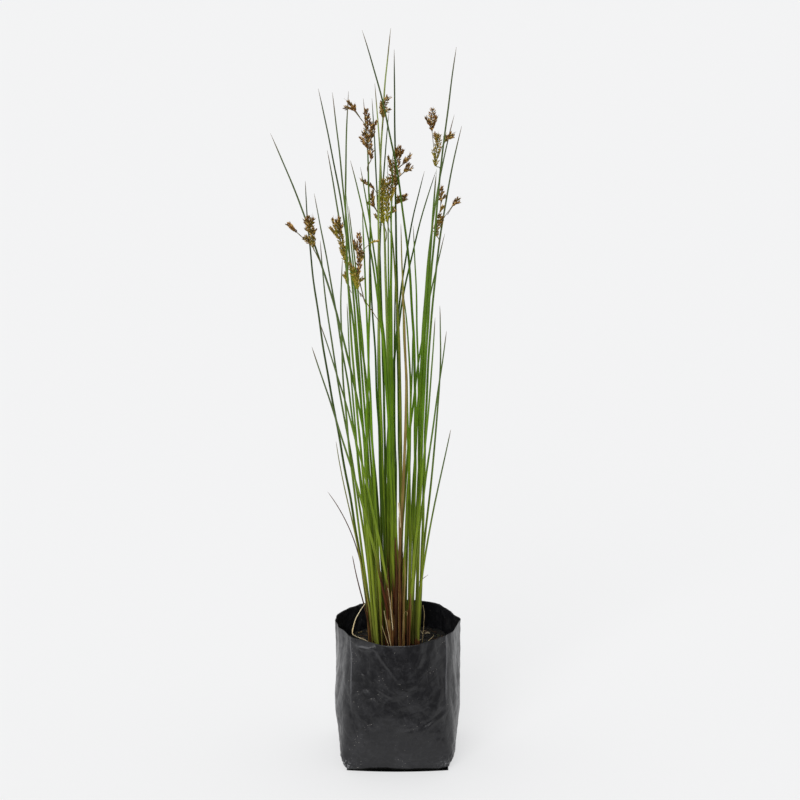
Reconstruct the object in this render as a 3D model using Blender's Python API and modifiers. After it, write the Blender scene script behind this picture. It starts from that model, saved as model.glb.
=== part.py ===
# Potted rush: a tall clump of round green stems with brown flower clusters, growing in soil in a
# black plastic-film planter bag. Metres, +Z up. The origin is the middle of the bag's base, on the
# surface that it stands on, and the view from the front looks along +Y.

import math

import bmesh
import bpy
from mathutils import Vector

MM = 0.001

# The planter bag. Each section is its height, half width along X, half depth along Y and
# squareness: 2 is an ellipse, and a higher value has flatter sides and tighter corners.
BAG_SECTIONS_MM = (
    (0.0, 54.5, 50.0, 7.0),
    (4.0, 56.6, 51.8, 6.4),
    (12.0, 58.8, 54.0, 5.4),
    (24.0, 60.4, 56.4, 4.4),
    (44.0, 61.6, 58.8, 3.6),
    (70.0, 62.2, 60.8, 3.0),
    (100.0, 62.6, 62.2, 2.5),
    (139.0, 62.8, 62.8, 2.1),
)
BAG_SIDES = 32
CORNER_GATHER = 0.12
FILM = 0.6 * MM
RIM_DIP = 1.2 * MM
RIM_CORNER_LIFT = 0.8 * MM

# The soil, which fills the bag to about 28 mm below its rim.
SOIL_GAP = 0.5 * MM
SOIL_TOP = 110.0 * MM
SOIL_CROWN = 2.5 * MM
SOIL_RIPPLE = 0.9 * MM
SOIL_RING_SHARES = (0.72, 0.4)
SOIL_HEIGHTS_MM = (12.0, 44.0)

# The stems. Each is planted to this depth in a pocket of the soil, with a small clearance.
PLANTING = 7.0 * MM
POCKET_CLEARANCE = 0.4 * MM
POCKET_REACH = 22.0 * MM
STEM_STEPS = 6
STEM_TIP_SHARE = 0.1
STEM_HIGH_SHARE = 0.54
STEM_LATE_TAPER = 8

# Each stem: its name, its X where it leaves the soil, at a third and at two thirds of its height
# and at its tip, its Y at the soil and at its tip, the height of its tip, and its diameter at the
# base. All in millimetres.
STEMS_MM = (
    ("stem_left_1", (-26, -46, -71.4, -86), (-2, -8), 582, 2.75),
    ("stem_left_2", (-24, -36, -58, -74), (6, 25), 519, 2.6),
    ("stem_left_3", (-23, -38, -50.7, -51.2), (-9, -30), 513, 2.6),
    ("stem_left_4", (-22, -26, -57.6, -117), (-5, -20), 628, 2.9),
    ("stem_left_5", (-21, -34, -53.8, -80), (10, 40), 562, 2.6),
    ("stem_left_6", (1, -16.5, -40.3, -72), (-21, -60), 459, 2.6),
    ("stem_left_7", (-4, -21, -48, -79), (-24, -70), 438, 2.75),
    ("stem_inner_left_1", (-20, -30, -26, -31), (-14, -35), 662, 2.75),
    ("stem_inner_left_2", (-22, -31, -43, -60.7), (1, 12), 662, 2.75),
    ("stem_inner_left_3", (-19, -33, -45.8, -44), (-18, -48), 670, 2.75),
    ("stem_inner_left_4", (-18, -29, -42.2, -65), (-1.5, -15), 612, 2.9),
    ("stem_inner_left_5", (-16, -24, -33, -47), (14, 38), 550, 2.6),
    ("stem_inner_left_6", (-14, -21, -27, -32), (-20, -58), 567, 2.75),
    ("stem_inner_left_7", (-11, -23, -42.8, -75.8), (18, 60), 660, 2.75),
    ("stem_inner_left_8", (-1, -6, -14.7, -43), (-15, -40), 606, 2.75),
    ("stem_inner_left_9", (4, -3, -13, -34), (-12.5, -34), 599, 2.75),
    ("stem_centre_1", (15, 17, 9.5, -32), (-9, -22), 722, 2.9),
    ("stem_centre_2", (-11, -15, -18, -6), (-3, -10), 723, 2.9),
    ("stem_centre_3", (5, 2, -1, -3), (6, 18), 701, 2.9),
    ("stem_centre_4", (-6, -8, -11, -21), (2, 5), 671, 2.75),
    ("stem_centre_5", (-14, -17, -18, -8), (4, 20), 642, 2.6),
    ("stem_centre_6", (-9, -12, -16, -24), (10, 30), 654, 2.6),
    ("stem_centre_7", (5, 8, 12.5, 5), (-5, -16), 479, 2.75),
    ("stem_right_1", (18, 23, 33, 54), (-4, -12), 706, 2.9),
    ("stem_right_2", (16, 22, 26.5, 54), (14, 42), 637, 2.75),
    ("stem_right_3", (20, 25.8, 33.2, 60), (0.5, 3), 632, 2.9),
    ("stem_right_4", (-6, -6, -1, 26), (15, 50), 582, 2.6),
    ("stem_right_5", (-13, -12, 0, 37.5), (22, 70), 579, 2.6),
    ("stem_right_6", (12, 15, 24.4, 36), (3, 10), 584, 2.75),
    ("stem_right_7", (3, 3, 2, -7.5), (1, -2), 552, 2.75),
    ("stem_right_8", (19, 21, 20, 15), (5, 16), 535, 2.6),
    ("stem_right_9", (1, 6, 19, 46), (19, 55), 520, 2.6),
    ("stem_right_10", (20, 27.5, 38.4, 41), (10, 30), 454, 2.6),
    ("stem_right_11", (11, 19, 32, 46), (-14, -38), 445, 2.6),
    ("stem_right_12", (9, 17.5, 27.4, 35), (-19, -50), 461, 2.6),
    ("stem_right_13", (21, 24, 36, 51), (-8, -25), 345, 2.4),
    ("stem_inner_1", (-18, -30.5, -41, -47.5), (-9.5, -22), 468, 2.6),
    ("stem_inner_2", (-9, -14, -20, -27), (-15, -45), 540, 2.6),
    ("stem_inner_3", (-3, -4, -6, -4), (-3, -6), 612, 2.9),
    ("stem_inner_4", (-1, -1.8, -3, -1.5), (8, 19), 500, 2.6),
    ("stem_inner_5", (8, 9.4, 12.3, 14.8), (11, 29), 430, 2.6),
    ("stem_inner_6", (14, 18.5, 25, 32.5), (9, 26), 500, 2.6),
    ("stem_inner_7", (10, 12, 8, 3.2), (-1.5, 1), 540, 2.6),
    ("dead_stem", (-1, 3, 8, 4), (-9, -25), 481, 2.6),
    ("dry_shoot_1", (-28, -31, -41, -68), (-5.5, -14), 279, 1.6),
    ("dry_shoot_2", (-25, -32, -46, -59), (-13, -24), 333, 1.8),
    ("dry_shoot_3", (-27, -29, -37, -44), (-17, -22), 216, 1.8),
)

# A dead leaf that leans out to the bag's left front corner and is folded back there.
DEAD_LEAF_MM = (
    (-19.0, -27.0, 115.0),
    (-29.0, -35.0, 131.0),
    (-41.0, -40.0, 139.0),
    (-44.0, -42.0, 143.0),
    (-43.0, -38.5, 149.0),
    (-41.0, -34.0, 154.5),
    (-37.0, -29.0, 160.5),
    (-32.0, -23.5, 166.5),
)
DEAD_LEAF_THICKNESS = 1.2 * MM

# The flower clusters. Each one grows from the side of a stem: the name of the stem, the height at
# which it leaves it, the Y distance that it stands in front of the stem, and its branches. The
# first is the main branch and the others leave it one above another. Each branch ends in a head of
# small flowers: its middle as X, height and Y offset, then its length and width. All in
# millimetres.
CLUSTERS_MM = (
    ("flower_cluster_1", "stem_left_4", 514, 6, (
        (-85, 540, 0, 15, 7), (-82, 529, -4, 13, 7), (-79, 519, 1, 10, 6),
        (-90, 526, 4, 9, 6), (-101, 537, -3, 11, 7))),
    ("flower_cluster_2", "stem_inner_left_4", 505, 6, (
        (-58, 541, 2, 12, 6), (-64, 534, -5, 9, 5), (-55, 529, -2, 14, 7),
        (-52, 517, -1, 12, 6), (-49, 537, -5, 9, 5), (-48, 491, -2, 9, 5))),
    ("flower_cluster_3", "stem_inner_left_6", 480, 6, (
        (-36, 519, 0, 30, 6), (-36, 502, -4, 14, 8), (-42, 489, 2, 14, 7), (-22, 520, 4, 8, 4))),
    ("flower_cluster_4", "stem_inner_left_1", 602, 6, (
        (-28, 640, 0, 16, 7), (-26, 626, -5, 15, 8), (-27, 613, -1, 12, 7),
        (-35, 621, 3, 8, 5), (-20, 631, 4, 12, 6), (-45, 649, -2, 11, 7))),
    ("flower_cluster_5", "stem_centre_2", 636, 5, (
        (-14, 652, 0, 12, 6), (-9, 647, -4, 11, 6))),
    ("flower_cluster_6", "stem_centre_3", 573, 6, (
        (-2, 606, -1, 15, 7), (1, 593, -5, 14, 8), (0, 581, -1, 11, 6),
        (10, 602, -4, 10, 6), (11, 592, 5, 9, 6), (-8, 598, 4, 11, 5))),
    ("flower_cluster_7", "stem_inner_3", 535, 6, (
        (-5, 580, -1, 12, 8), (-12, 573, -4, 14, 7), (-3, 566, -6, 13, 9), (-11, 559, 3, 12, 8),
        (-6, 549, -2, 14, 9), (-25, 562, 2, 15, 6), (5, 561, 4, 9, 6))),
    ("flower_cluster_8", "stem_right_2", 592, 6, (
        (38, 619, -1, 14, 6), (37, 606, -5, 14, 7), (47, 622, -3, 9, 6), (31, 641, 3, 12, 6))),
    ("flower_cluster_9", "stem_right_3", 528, 6, (
        (42, 569, 0, 12, 6), (46, 558, -5, 11, 7), (40, 547, -1, 14, 7),
        (36, 538, 1, 12, 6), (56, 560, 4, 9, 6))),
)
TWIG_THICKNESS = 1.3 * MM
FORK_RISE = 3.0 * MM
FORK_SPREAD = 0.77
TWIG_SIDES = 4
HEAD_UPTURN = 1.2
HEAD_WIDEST = 0.2
HEAD_TOP_SHARE = 0.42
HEAD_TIP_SHARE = 0.2
CLUSTER_GAP = 0.3 * MM


def clear_scene():
    for obj in list(bpy.data.objects):
        bpy.data.objects.remove(obj, do_unlink=True)


def new_collection(name):
    collection = bpy.data.collections.new(name)
    bpy.context.scene.collection.children.link(collection)
    return collection


def new_material(name, colour, roughness, metallic=0.0):
    material = bpy.data.materials.new(name)
    material.use_nodes = True
    shader = material.node_tree.nodes["Principled BSDF"]
    shader.inputs["Base Color"].default_value = (*colour, 1.0)
    shader.inputs["Roughness"].default_value = roughness
    shader.inputs["Metallic"].default_value = metallic
    return material


def mesh_object(name, bm, collection, material=None):
    mesh = bpy.data.meshes.new(name)
    bm.to_mesh(mesh)
    bm.free()
    obj = bpy.data.objects.new(name, mesh)
    collection.objects.link(obj)
    if material:
        mesh.materials.append(material)
    return obj


def as_cutter(obj):
    obj.hide_render = True
    obj.display_type = "WIRE"
    return obj


def tube(name, points, radii, collection, material=None, sides=6):
    """A round bar along the points, with closed ends and its own radius at each point."""
    curve = bpy.data.curves.new(name, "CURVE")
    curve.dimensions = "3D"
    curve.bevel_depth = radii[0]
    curve.bevel_resolution = (sides - 4) // 2
    curve.use_fill_caps = True
    spline = curve.splines.new("POLY")
    spline.points.add(len(points) - 1)
    for target, place, radius in zip(spline.points, points, radii):
        target.co = (*place, 1.0)
        target.radius = radius / radii[0]
    obj = bpy.data.objects.new(name, curve)
    collection.objects.link(obj)
    if material:
        curve.materials.append(material)
    return obj


def as_meshes(tubes, collection):
    """The same bars as closed meshes, for pieces that are cut or joined, with the curves removed."""
    bpy.context.view_layer.update()
    graph = bpy.context.evaluated_depsgraph_get()
    made = []
    for guide in tubes:
        mesh = bpy.data.meshes.new_from_object(guide.evaluated_get(graph))
        bm = bmesh.new()
        bm.from_mesh(mesh)
        bpy.data.meshes.remove(mesh)
        bmesh.ops.remove_doubles(bm, verts=bm.verts, dist=1e-6)
        bmesh.ops.recalc_face_normals(bm, faces=bm.faces)
        obj = mesh_object(guide.name + "_mesh", bm, collection)
        obj.matrix_world = guide.matrix_world
        made.append(obj)
    for guide in tubes:
        bpy.data.objects.remove(guide, do_unlink=True)
    return made


def bag_section(height):
    """Half width, half depth and squareness of the bag at a height, between the listed sections."""
    rows = [(row[0] * MM, *row[1:]) for row in BAG_SECTIONS_MM]
    for low, high in zip(rows, rows[1:]):
        if height <= high[0]:
            break
    share = min(max((height - low[0]) / (high[0] - low[0]), 0.0), 1.0)
    return [a + (b - a) * share for a, b in zip(low[1:], high[1:])]


def bag_radius(angle, height, inset=0.0):
    """Distance from the bag's axis to its film at an angle, less the inset."""
    half_width, half_depth, squareness = bag_section(height)
    across = abs(math.cos(angle)) / (half_width * MM - inset)
    along = abs(math.sin(angle)) / (half_depth * MM - inset)
    return (across**squareness + along**squareness) ** (-1 / squareness)


def rim_height(angle):
    """The rim dips at the front and back and lifts a little at the corner creases."""
    return RIM_DIP * math.cos(2 * angle) - RIM_CORNER_LIFT * math.cos(4 * angle)


def ring_of(bm, radius_at, height_at):
    """A ring of points round the axis, gathered a little towards the bag's four corners."""
    evenly = [2 * math.pi * i / BAG_SIDES for i in range(BAG_SIDES)]
    turns = [a + CORNER_GATHER * math.sin(4 * a) for a in evenly]
    return [
        bm.verts.new((radius_at(a) * math.cos(a), radius_at(a) * math.sin(a), height_at(a)))
        for a in turns
    ]


def join_rings(bm, low, high):
    for i in range(len(low)):
        j = (i + 1) % len(low)
        bm.faces.new((low[i], low[j], high[j], high[i]))


def build_bag(collection, material):
    """An open shell of film on a flat base: square below, opening to a rounded rim."""
    bm = bmesh.new()
    top = BAG_SECTIONS_MM[-1][0] * MM
    rings = []
    for section in BAG_SECTIONS_MM:
        height = section[0] * MM
        share = height / top
        rings.append(
            ring_of(
                bm,
                lambda a, z=height: bag_radius(a, z),
                lambda a, z=height, s=share: z + s**3 * rim_height(a),
            )
        )
    for low, high in zip(rings, rings[1:]):
        join_rings(bm, low, high)
    bm.faces.new(list(reversed(rings[0])))
    obj = mesh_object("planter_bag", bm, collection, material)
    wall = obj.modifiers.new("film", "SOLIDIFY")
    wall.thickness = FILM
    wall.offset = -1.0
    wall.use_even_offset = True
    return obj


def soil_height(x, y):
    """The soil is highest round the clump and gently uneven."""
    reach = math.hypot(x, y) / (BAG_SECTIONS_MM[-1][1] * MM)
    ripple = math.sin(x / (9 * MM) + 0.6) * math.sin(y / (11 * MM) + 1.1)
    return SOIL_TOP + SOIL_CROWN * (1 - reach**2) + SOIL_RIPPLE * ripple


def build_soil(collection, material, pockets):
    """A solid fill up to the soil level, with a pocket for each stem."""
    bm = bmesh.new()
    inset = FILM + SOIL_GAP
    floor = FILM + SOIL_GAP
    heights = [floor] + [h * MM for h in SOIL_HEIGHTS_MM]
    rings = [
        ring_of(bm, lambda a, z=z: bag_radius(a, z, inset), lambda a, z=z: z) for z in heights
    ]
    for share in (1.0, *SOIL_RING_SHARES):
        def radius_at(a, s=share):
            return s * bag_radius(a, SOIL_TOP, inset)

        def height_at(a, s=share):
            reach = s * bag_radius(a, SOIL_TOP, inset)
            return soil_height(reach * math.cos(a), reach * math.sin(a))

        rings.append(ring_of(bm, radius_at, height_at))
    for low, high in zip(rings, rings[1:]):
        join_rings(bm, low, high)
    bm.faces.new(list(reversed(rings[0])))
    peak = bm.verts.new((0.0, 0.0, soil_height(0.0, 0.0)))
    inner = rings[-1]
    for i in range(len(inner)):
        bm.faces.new((inner[i], inner[(i + 1) % len(inner)], peak))
    obj = mesh_object("potting_soil", bm, collection, material)
    cut = obj.modifiers.new("stem_pockets", "BOOLEAN")
    cut.operation = "DIFFERENCE"
    cut.solver = "EXACT"
    cut.object = pockets
    return obj


def through_thirds(values, share):
    """A smooth line through four values at 0, 1/3, 2/3 and 1 of a stem's height."""
    u = 3 * share
    weights = (
        -(u - 1) * (u - 2) * (u - 3) / 6,
        u * (u - 2) * (u - 3) / 2,
        -u * (u - 1) * (u - 3) / 2,
        u * (u - 1) * (u - 2) / 6,
    )
    return sum(w * v for w, v in zip(weights, values))


def stem_point(row, share):
    """The middle of a stem at a share of its height above the soil."""
    _, xs, (near, far), tip, _ = row
    x = through_thirds(xs, share)
    y = near + (far - near) * (0.4 * share + 0.6 * share**2)
    return Vector((x * MM, y * MM, SOIL_TOP + share * (tip * MM - SOIL_TOP)))


def stem_radius(row, share):
    """An even taper to about half the width, with a quick last one to the sharp tip."""
    late = STEM_HIGH_SHARE - STEM_TIP_SHARE
    return row[4] / 2 * MM * (1 - (1 - STEM_HIGH_SHARE) * share - late * share**STEM_LATE_TAPER)


def stem_course(row):
    """The points and radii of a stem, from its planted end to its tip."""
    rise = row[3] * MM - SOIL_TOP
    start = -PLANTING / rise
    shares = [start + (1 - start) * i / STEM_STEPS for i in range(STEM_STEPS + 1)]
    points = [stem_point(row, s) for s in shares]
    return points, [stem_radius(row, max(s, 0.0)) for s in shares]


def build_stems(collection, materials):
    for row in STEMS_MM:
        points, radii = stem_course(row)
        dry = row[0].startswith(("dead", "dry"))
        tube(row[0], points, radii, collection, materials["dry_stem" if dry else "stem"])


def build_pockets(collection):
    """One mesh of all the pockets: a bar round the planted end of each stem, a little wider."""
    bars = []
    for row in STEMS_MM:
        points, radii = stem_course(row)
        along = (points[1] - points[0]).normalized()
        ends = [points[0] - POCKET_CLEARANCE * along, points[0] + POCKET_REACH * along]
        wide = radii[0] + POCKET_CLEARANCE
        bars.append(tube("pocket_" + row[0], ends, [wide, wide], collection))
    joined = bmesh.new()
    for bar in as_meshes(bars, collection):
        joined.from_mesh(bar.data)
        bpy.data.objects.remove(bar, do_unlink=True)
    return as_cutter(mesh_object("stem_pockets", joined, collection))


def build_dead_leaf(collection, material):
    points = [Vector(p) * MM for p in DEAD_LEAF_MM]
    last = len(points) - 1
    radii = [DEAD_LEAF_THICKNESS / 2 * (1 - 0.6 * i / last) for i in range(last + 1)]
    return tube("dead_leaf", points, radii, collection, material, sides=6)


def branch(name, start, centre, length, width, collection):
    """A thin twig that swells into one head of flowers and ends in a point."""
    aim = (centre - start).normalized()
    upright = (aim + Vector((0.0, 0.0, HEAD_UPTURN))).normalized()
    half = TWIG_THICKNESS / 2
    along = (-0.5, -HEAD_WIDEST, HEAD_WIDEST, 0.5)
    points = [start] + [centre + share * length * upright for share in along]
    radii = [half, half, width / 2, HEAD_TOP_SHARE * width, HEAD_TIP_SHARE * half]
    return tube(name, points, radii, collection, sides=TWIG_SIDES)


def cluster_branches(row, stems, collection):
    """The curves of a cluster: its stalk out of the stem's side, then its branches."""
    name, stem_name, leaves_at, stand_off, heads = row
    stem = stems[stem_name]
    share = (leaves_at * MM - SOIL_TOP) / (stem[3] * MM - SOIL_TOP)
    heart = stem_point(stem, share)
    half = TWIG_THICKNESS / 2
    foot = heart + Vector((0.0, -stem_radius(stem, share) - CLUSTER_GAP - half, 0.0))
    fork = heart + Vector((0.0, -stand_off * MM, FORK_RISE))
    centres = [Vector((x * MM, fork.y + off * MM, z * MM)) for x, z, off, _, _ in heads]
    main_branch = centres[0] - fork
    climb = sorted(range(1, len(heads)), key=lambda i: centres[i].z)
    starts = {0: fork - half * main_branch.normalized()}
    for rank, i in enumerate(climb):
        starts[i] = fork + main_branch * (FORK_SPREAD * rank / len(heads))
    made = [tube(name + "_stalk", [foot, fork], [half, half], collection, sides=TWIG_SIDES)]
    for i, (_, _, _, length, width) in enumerate(heads):
        made.append(
            branch(f"{name}_{i}", starts[i], centres[i], length * MM, width * MM, collection)
        )
    return made


def build_clusters(collection, cutters, material):
    stems = {row[0]: row for row in STEMS_MM}
    drawn = {row[0]: cluster_branches(row, stems, cutters) for row in CLUSTERS_MM}
    solid = iter(as_meshes([guide for guides in drawn.values() for guide in guides], cutters))
    for name, guides in drawn.items():
        stalk, *branches = [next(solid) for _ in guides]
        group = bpy.data.collections.new(name + "_branches")
        cutters.children.link(group)
        for piece in branches:
            cutters.objects.unlink(piece)
            group.objects.link(as_cutter(piece))
        cutters.objects.unlink(stalk)
        collection.objects.link(stalk)
        stalk.name = name
        stalk.data.materials.append(material)
        join = stalk.modifiers.new("branches", "BOOLEAN")
        join.operation = "UNION"
        join.solver = "EXACT"
        join.operand_type = "COLLECTION"
        join.collection = group


def main():
    clear_scene()
    parts = new_collection("potted_rush")
    cutters = new_collection("cutters")
    cutters.hide_render = True
    materials = {
        "film": new_material("black_film", (0.018, 0.018, 0.021), 0.38),
        "soil": new_material("soil", (0.022, 0.016, 0.011), 0.95),
        "stem": new_material("green_stem", (0.115, 0.225, 0.040), 0.5),
        "dry_stem": new_material("dry_stem", (0.300, 0.210, 0.110), 0.75),
        "flower": new_material("brown_flower", (0.130, 0.055, 0.018), 0.8),
    }
    pockets = build_pockets(cutters)
    build_clusters(parts, cutters, materials["flower"])
    build_bag(parts, materials["film"])
    build_soil(parts, materials["soil"], pockets)
    build_stems(parts, materials)
    build_dead_leaf(parts, materials["dry_stem"])


main()
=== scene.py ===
import math

import bpy
import numpy as np
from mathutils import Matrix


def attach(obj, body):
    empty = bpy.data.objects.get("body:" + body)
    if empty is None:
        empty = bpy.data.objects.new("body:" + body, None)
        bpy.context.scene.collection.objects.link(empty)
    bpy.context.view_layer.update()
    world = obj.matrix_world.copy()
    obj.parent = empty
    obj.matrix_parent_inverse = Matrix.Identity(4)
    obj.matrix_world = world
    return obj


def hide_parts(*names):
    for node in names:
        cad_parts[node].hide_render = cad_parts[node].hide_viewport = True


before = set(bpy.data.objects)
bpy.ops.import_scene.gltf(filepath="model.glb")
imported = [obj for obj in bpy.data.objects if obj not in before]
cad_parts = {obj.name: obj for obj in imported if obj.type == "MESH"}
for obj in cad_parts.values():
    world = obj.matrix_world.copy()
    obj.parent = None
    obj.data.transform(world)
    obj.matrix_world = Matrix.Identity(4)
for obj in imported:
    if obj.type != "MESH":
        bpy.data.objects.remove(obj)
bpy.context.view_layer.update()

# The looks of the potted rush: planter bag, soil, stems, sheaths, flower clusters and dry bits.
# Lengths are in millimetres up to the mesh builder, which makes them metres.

mm = 0.001
fullTurn = 2 * math.pi


# Camera, floor and light

camera = {
    "place": (0.0024, -1.861, 0.886),  # metres, from the rim's ellipse and the base's edge
    "pitchDown": 15.57,                # degrees
    "lens": 90.0,
    "sensor": 36.0,
}
studio = {
    "skyColour": (1.0, 1.0, 1.0),
    "skyFront": 0.14,                  # strength behind the camera
    "skyBack": 0.95,                   # strength behind the object, reached at its sides
    "skyRise": (-0.9, 0.15),           # where it rises, as the direction's Y
    "keyStrength": 2.0,
    "keyWidth": 42.0,                  # degrees, a soft light
    "keyTilt": (62.0, 0.0, -16.0),     # degrees about X, Y and Z: from above the camera
    "floorColour": (0.888, 0.890, 0.896),
    "floorGlow": 0.62,                 # share of the floor's own light, which keeps shadows faint
    "floorFront": 0.17,                # metres from the object to the table's front edge
    "floorSize": 60.0,
    # the painted shadow on the floor under the bag's lifted edge: its half depth, how much narrower it is,
    # how it bows in towards its corners, its soft rim and its colour
    "footprint": 0.0521,
    "footprintNarrower": 0.0022,
    "footprintBow": 1.4,
    "footprintRim": 0.0010,
    "paintedShadowColour": (0.004, 0.004, 0.004),
}


def makeCamera():
    data = bpy.data.cameras.new("photoCamera")
    data.lens = camera["lens"]
    data.sensor_width = camera["sensor"]
    data.clip_end = 100
    eye = bpy.data.objects.new("photoCamera", data)
    eye.location = camera["place"]
    eye.rotation_euler = (math.radians(90 - camera["pitchDown"]), 0, 0)
    bpy.context.scene.collection.objects.link(eye)
    bpy.context.scene.camera = eye


def makeStudio():
    world = bpy.data.worlds.new("whiteRoom")
    world.use_nodes = True
    nodes, links = world.node_tree.nodes, world.node_tree.links
    sky = nodes["Background"]
    sky.inputs["Color"].default_value = (*studio["skyColour"], 1)
    # the room's strength rises from behind the camera to the sides
    way = nodes.new("ShaderNodeTexCoord")
    parts = nodes.new("ShaderNodeSeparateXYZ")
    rise = nodes.new("ShaderNodeMapRange")
    rise.interpolation_type = "SMOOTHSTEP"
    ends = (*studio["skyRise"], studio["skyFront"], studio["skyBack"])
    for name, value in zip(("From Min", "From Max", "To Min", "To Max"), ends):
        rise.inputs[name].default_value = value
    links.new(way.outputs["Generated"], parts.inputs["Vector"])
    links.new(parts.outputs["Y"], rise.inputs["Value"])
    links.new(rise.outputs["Result"], sky.inputs["Strength"])
    bpy.context.scene.world = world
    bpy.context.scene.view_settings.view_transform = "Standard"
    light = bpy.data.lights.new("softKey", "SUN")
    light.energy = studio["keyStrength"]
    light.angle = math.radians(studio["keyWidth"])
    lamp = bpy.data.objects.new("softKey", light)
    lamp.rotation_euler = [math.radians(a) for a in studio["keyTilt"]]
    bpy.context.scene.collection.objects.link(lamp)


makeCamera()
makeStudio()
print("camera and studio ready")


# Materials: a Value wraps a socket, so that plain maths on it adds Math nodes

class Value:
    def __init__(self, look, socket):
        self.look = look
        self.socket = socket

    def math(self, operation, *terms, clamp=False):
        return self.look.node("ShaderNodeMath", {"operation": operation, "use_clamp": clamp}, *terms)

    def __add__(self, other):
        return self.math("ADD", self, other)

    def __sub__(self, other):
        return self.math("SUBTRACT", self, other)

    def __rsub__(self, other):
        return self.math("SUBTRACT", other, self)

    def __mul__(self, other):
        return self.math("MULTIPLY", self, other)

    def __truediv__(self, other):
        return self.math("DIVIDE", self, other)

    __radd__ = __add__
    __rmul__ = __mul__

    def step(self, low, high):
        # 0 below low, 1 above high, and a smooth rise between them
        settings = {"interpolation_type": "SMOOTHSTEP"}
        return self.look.node("ShaderNodeMapRange", settings, self, low, high, 0.0, 1.0)

    def clipped(self):
        return self.math("ADD", self, 0.0, clamp=True)


class Look:
    def __init__(self, name):
        self.material = bpy.data.materials.new(name)
        self.material.use_nodes = True
        self.tree = self.material.node_tree
        self.surface = self.tree.nodes["Principled BSDF"]

    def socket(self, sockets, key):
        if isinstance(key, int):
            return sockets[key]
        return next(s for s in sockets if key in (s.identifier, s.name))

    def fill(self, socket, value):
        if isinstance(value, Value):
            self.tree.links.new(value.socket, socket)
        elif isinstance(value, tuple) and socket.type == "RGBA":
            socket.default_value = (*value[:3], 1.0)
        else:
            socket.default_value = value

    def node(self, kind, settings, *inOrder, output=0, **named):
        made = self.tree.nodes.new(kind)
        for key, value in settings.items():
            if key == "stops":
                self.setStops(made.color_ramp, value)
            else:
                setattr(made, key, value)
        for key, value in [*enumerate(inOrder), *named.items()]:
            self.fill(self.socket(made.inputs, key), value)
        return Value(self, self.socket(made.outputs, output))

    def setStops(self, ramp, stops):
        while len(ramp.elements) < len(stops):
            ramp.elements.new(1.0)
        for element, (place, colour) in zip(ramp.elements, stops):
            element.position = place
            element.color = (*colour, 1.0)

    def ramp(self, value, *stops):
        return self.node("ShaderNodeValToRGB", {"stops": stops}, value)

    def mix(self, factor, a, b, blend="MIX"):
        settings = {"data_type": "RGBA", "blend_type": blend, "clamp_factor": True}
        return self.node(
            "ShaderNodeMix", settings, output="Result_Color", Factor_Float=factor, A_Color=a, B_Color=b
        )

    def place(self, scale=(1.0, 1.0, 1.0)):
        where = self.node("ShaderNodeTexCoord", {}, output="Object")
        return self.node("ShaderNodeMapping", {}, Vector=where, Scale=scale)

    def onSurface(self, scale=(1.0, 1.0, 1.0)):
        where = self.node("ShaderNodeUVMap", {"uv_map": "surface"})
        return self.node("ShaderNodeMapping", {}, Vector=where, Scale=scale)

    def attribute(self, name):
        return self.node("ShaderNodeAttribute", {"attribute_name": name}, output="Fac")

    def noise(self, where, scale, detail=3.0, roughness=0.55, twist=0.0):
        return self.node(
            "ShaderNodeTexNoise", {}, Vector=where, Scale=scale, Detail=detail,
            Roughness=roughness, Distortion=twist,
        )

    def cells(self, where, scale, feature="F1"):
        # how far each place is from the nearest of scattered points, or from the cells' edges
        return self.node(
            "ShaderNodeTexVoronoi", {"feature": feature}, output="Distance", Vector=where, Scale=scale
        )

    def finish(self, colour, roughness, height=None, bumpStrength=0.5, bumpDepth=0.0002, **plain):
        self.fill(self.surface.inputs["Base Color"], colour)
        self.fill(self.surface.inputs["Roughness"], roughness)
        for name, value in plain.items():
            self.surface.inputs[name.replace("_", " ")].default_value = value
        if height is not None:
            bump = self.node(
                "ShaderNodeBump", {}, Strength=bumpStrength, Distance=bumpDepth, Height=height
            )
            self.fill(self.surface.inputs["Normal"], bump)
        return self.material


filmFinish = {
    "black": (0.0058, 0.0058, 0.0074),
    "worn": (0.034, 0.034, 0.038),     # handled film turns greyer
    # lighter film on the creases where it is stretched, and the lip's painted highlight
    "stretchedAndHighlight": (0.110, 0.110, 0.118),
    "paintedCornerGlint": (0.360, 0.360, 0.360),  # painted glints on the crinkles of the base's corners
    "paintedSideSheen": (0.190, 0.190, 0.195),  # painted sheen: lighter streaks on the two sides
    "foot": (0.0008, 0.0008, 0.0008),  # painted shade on the film under the hem
    "dust": (0.50, 0.47, 0.42),
    "ior": 1.46,
}


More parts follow.
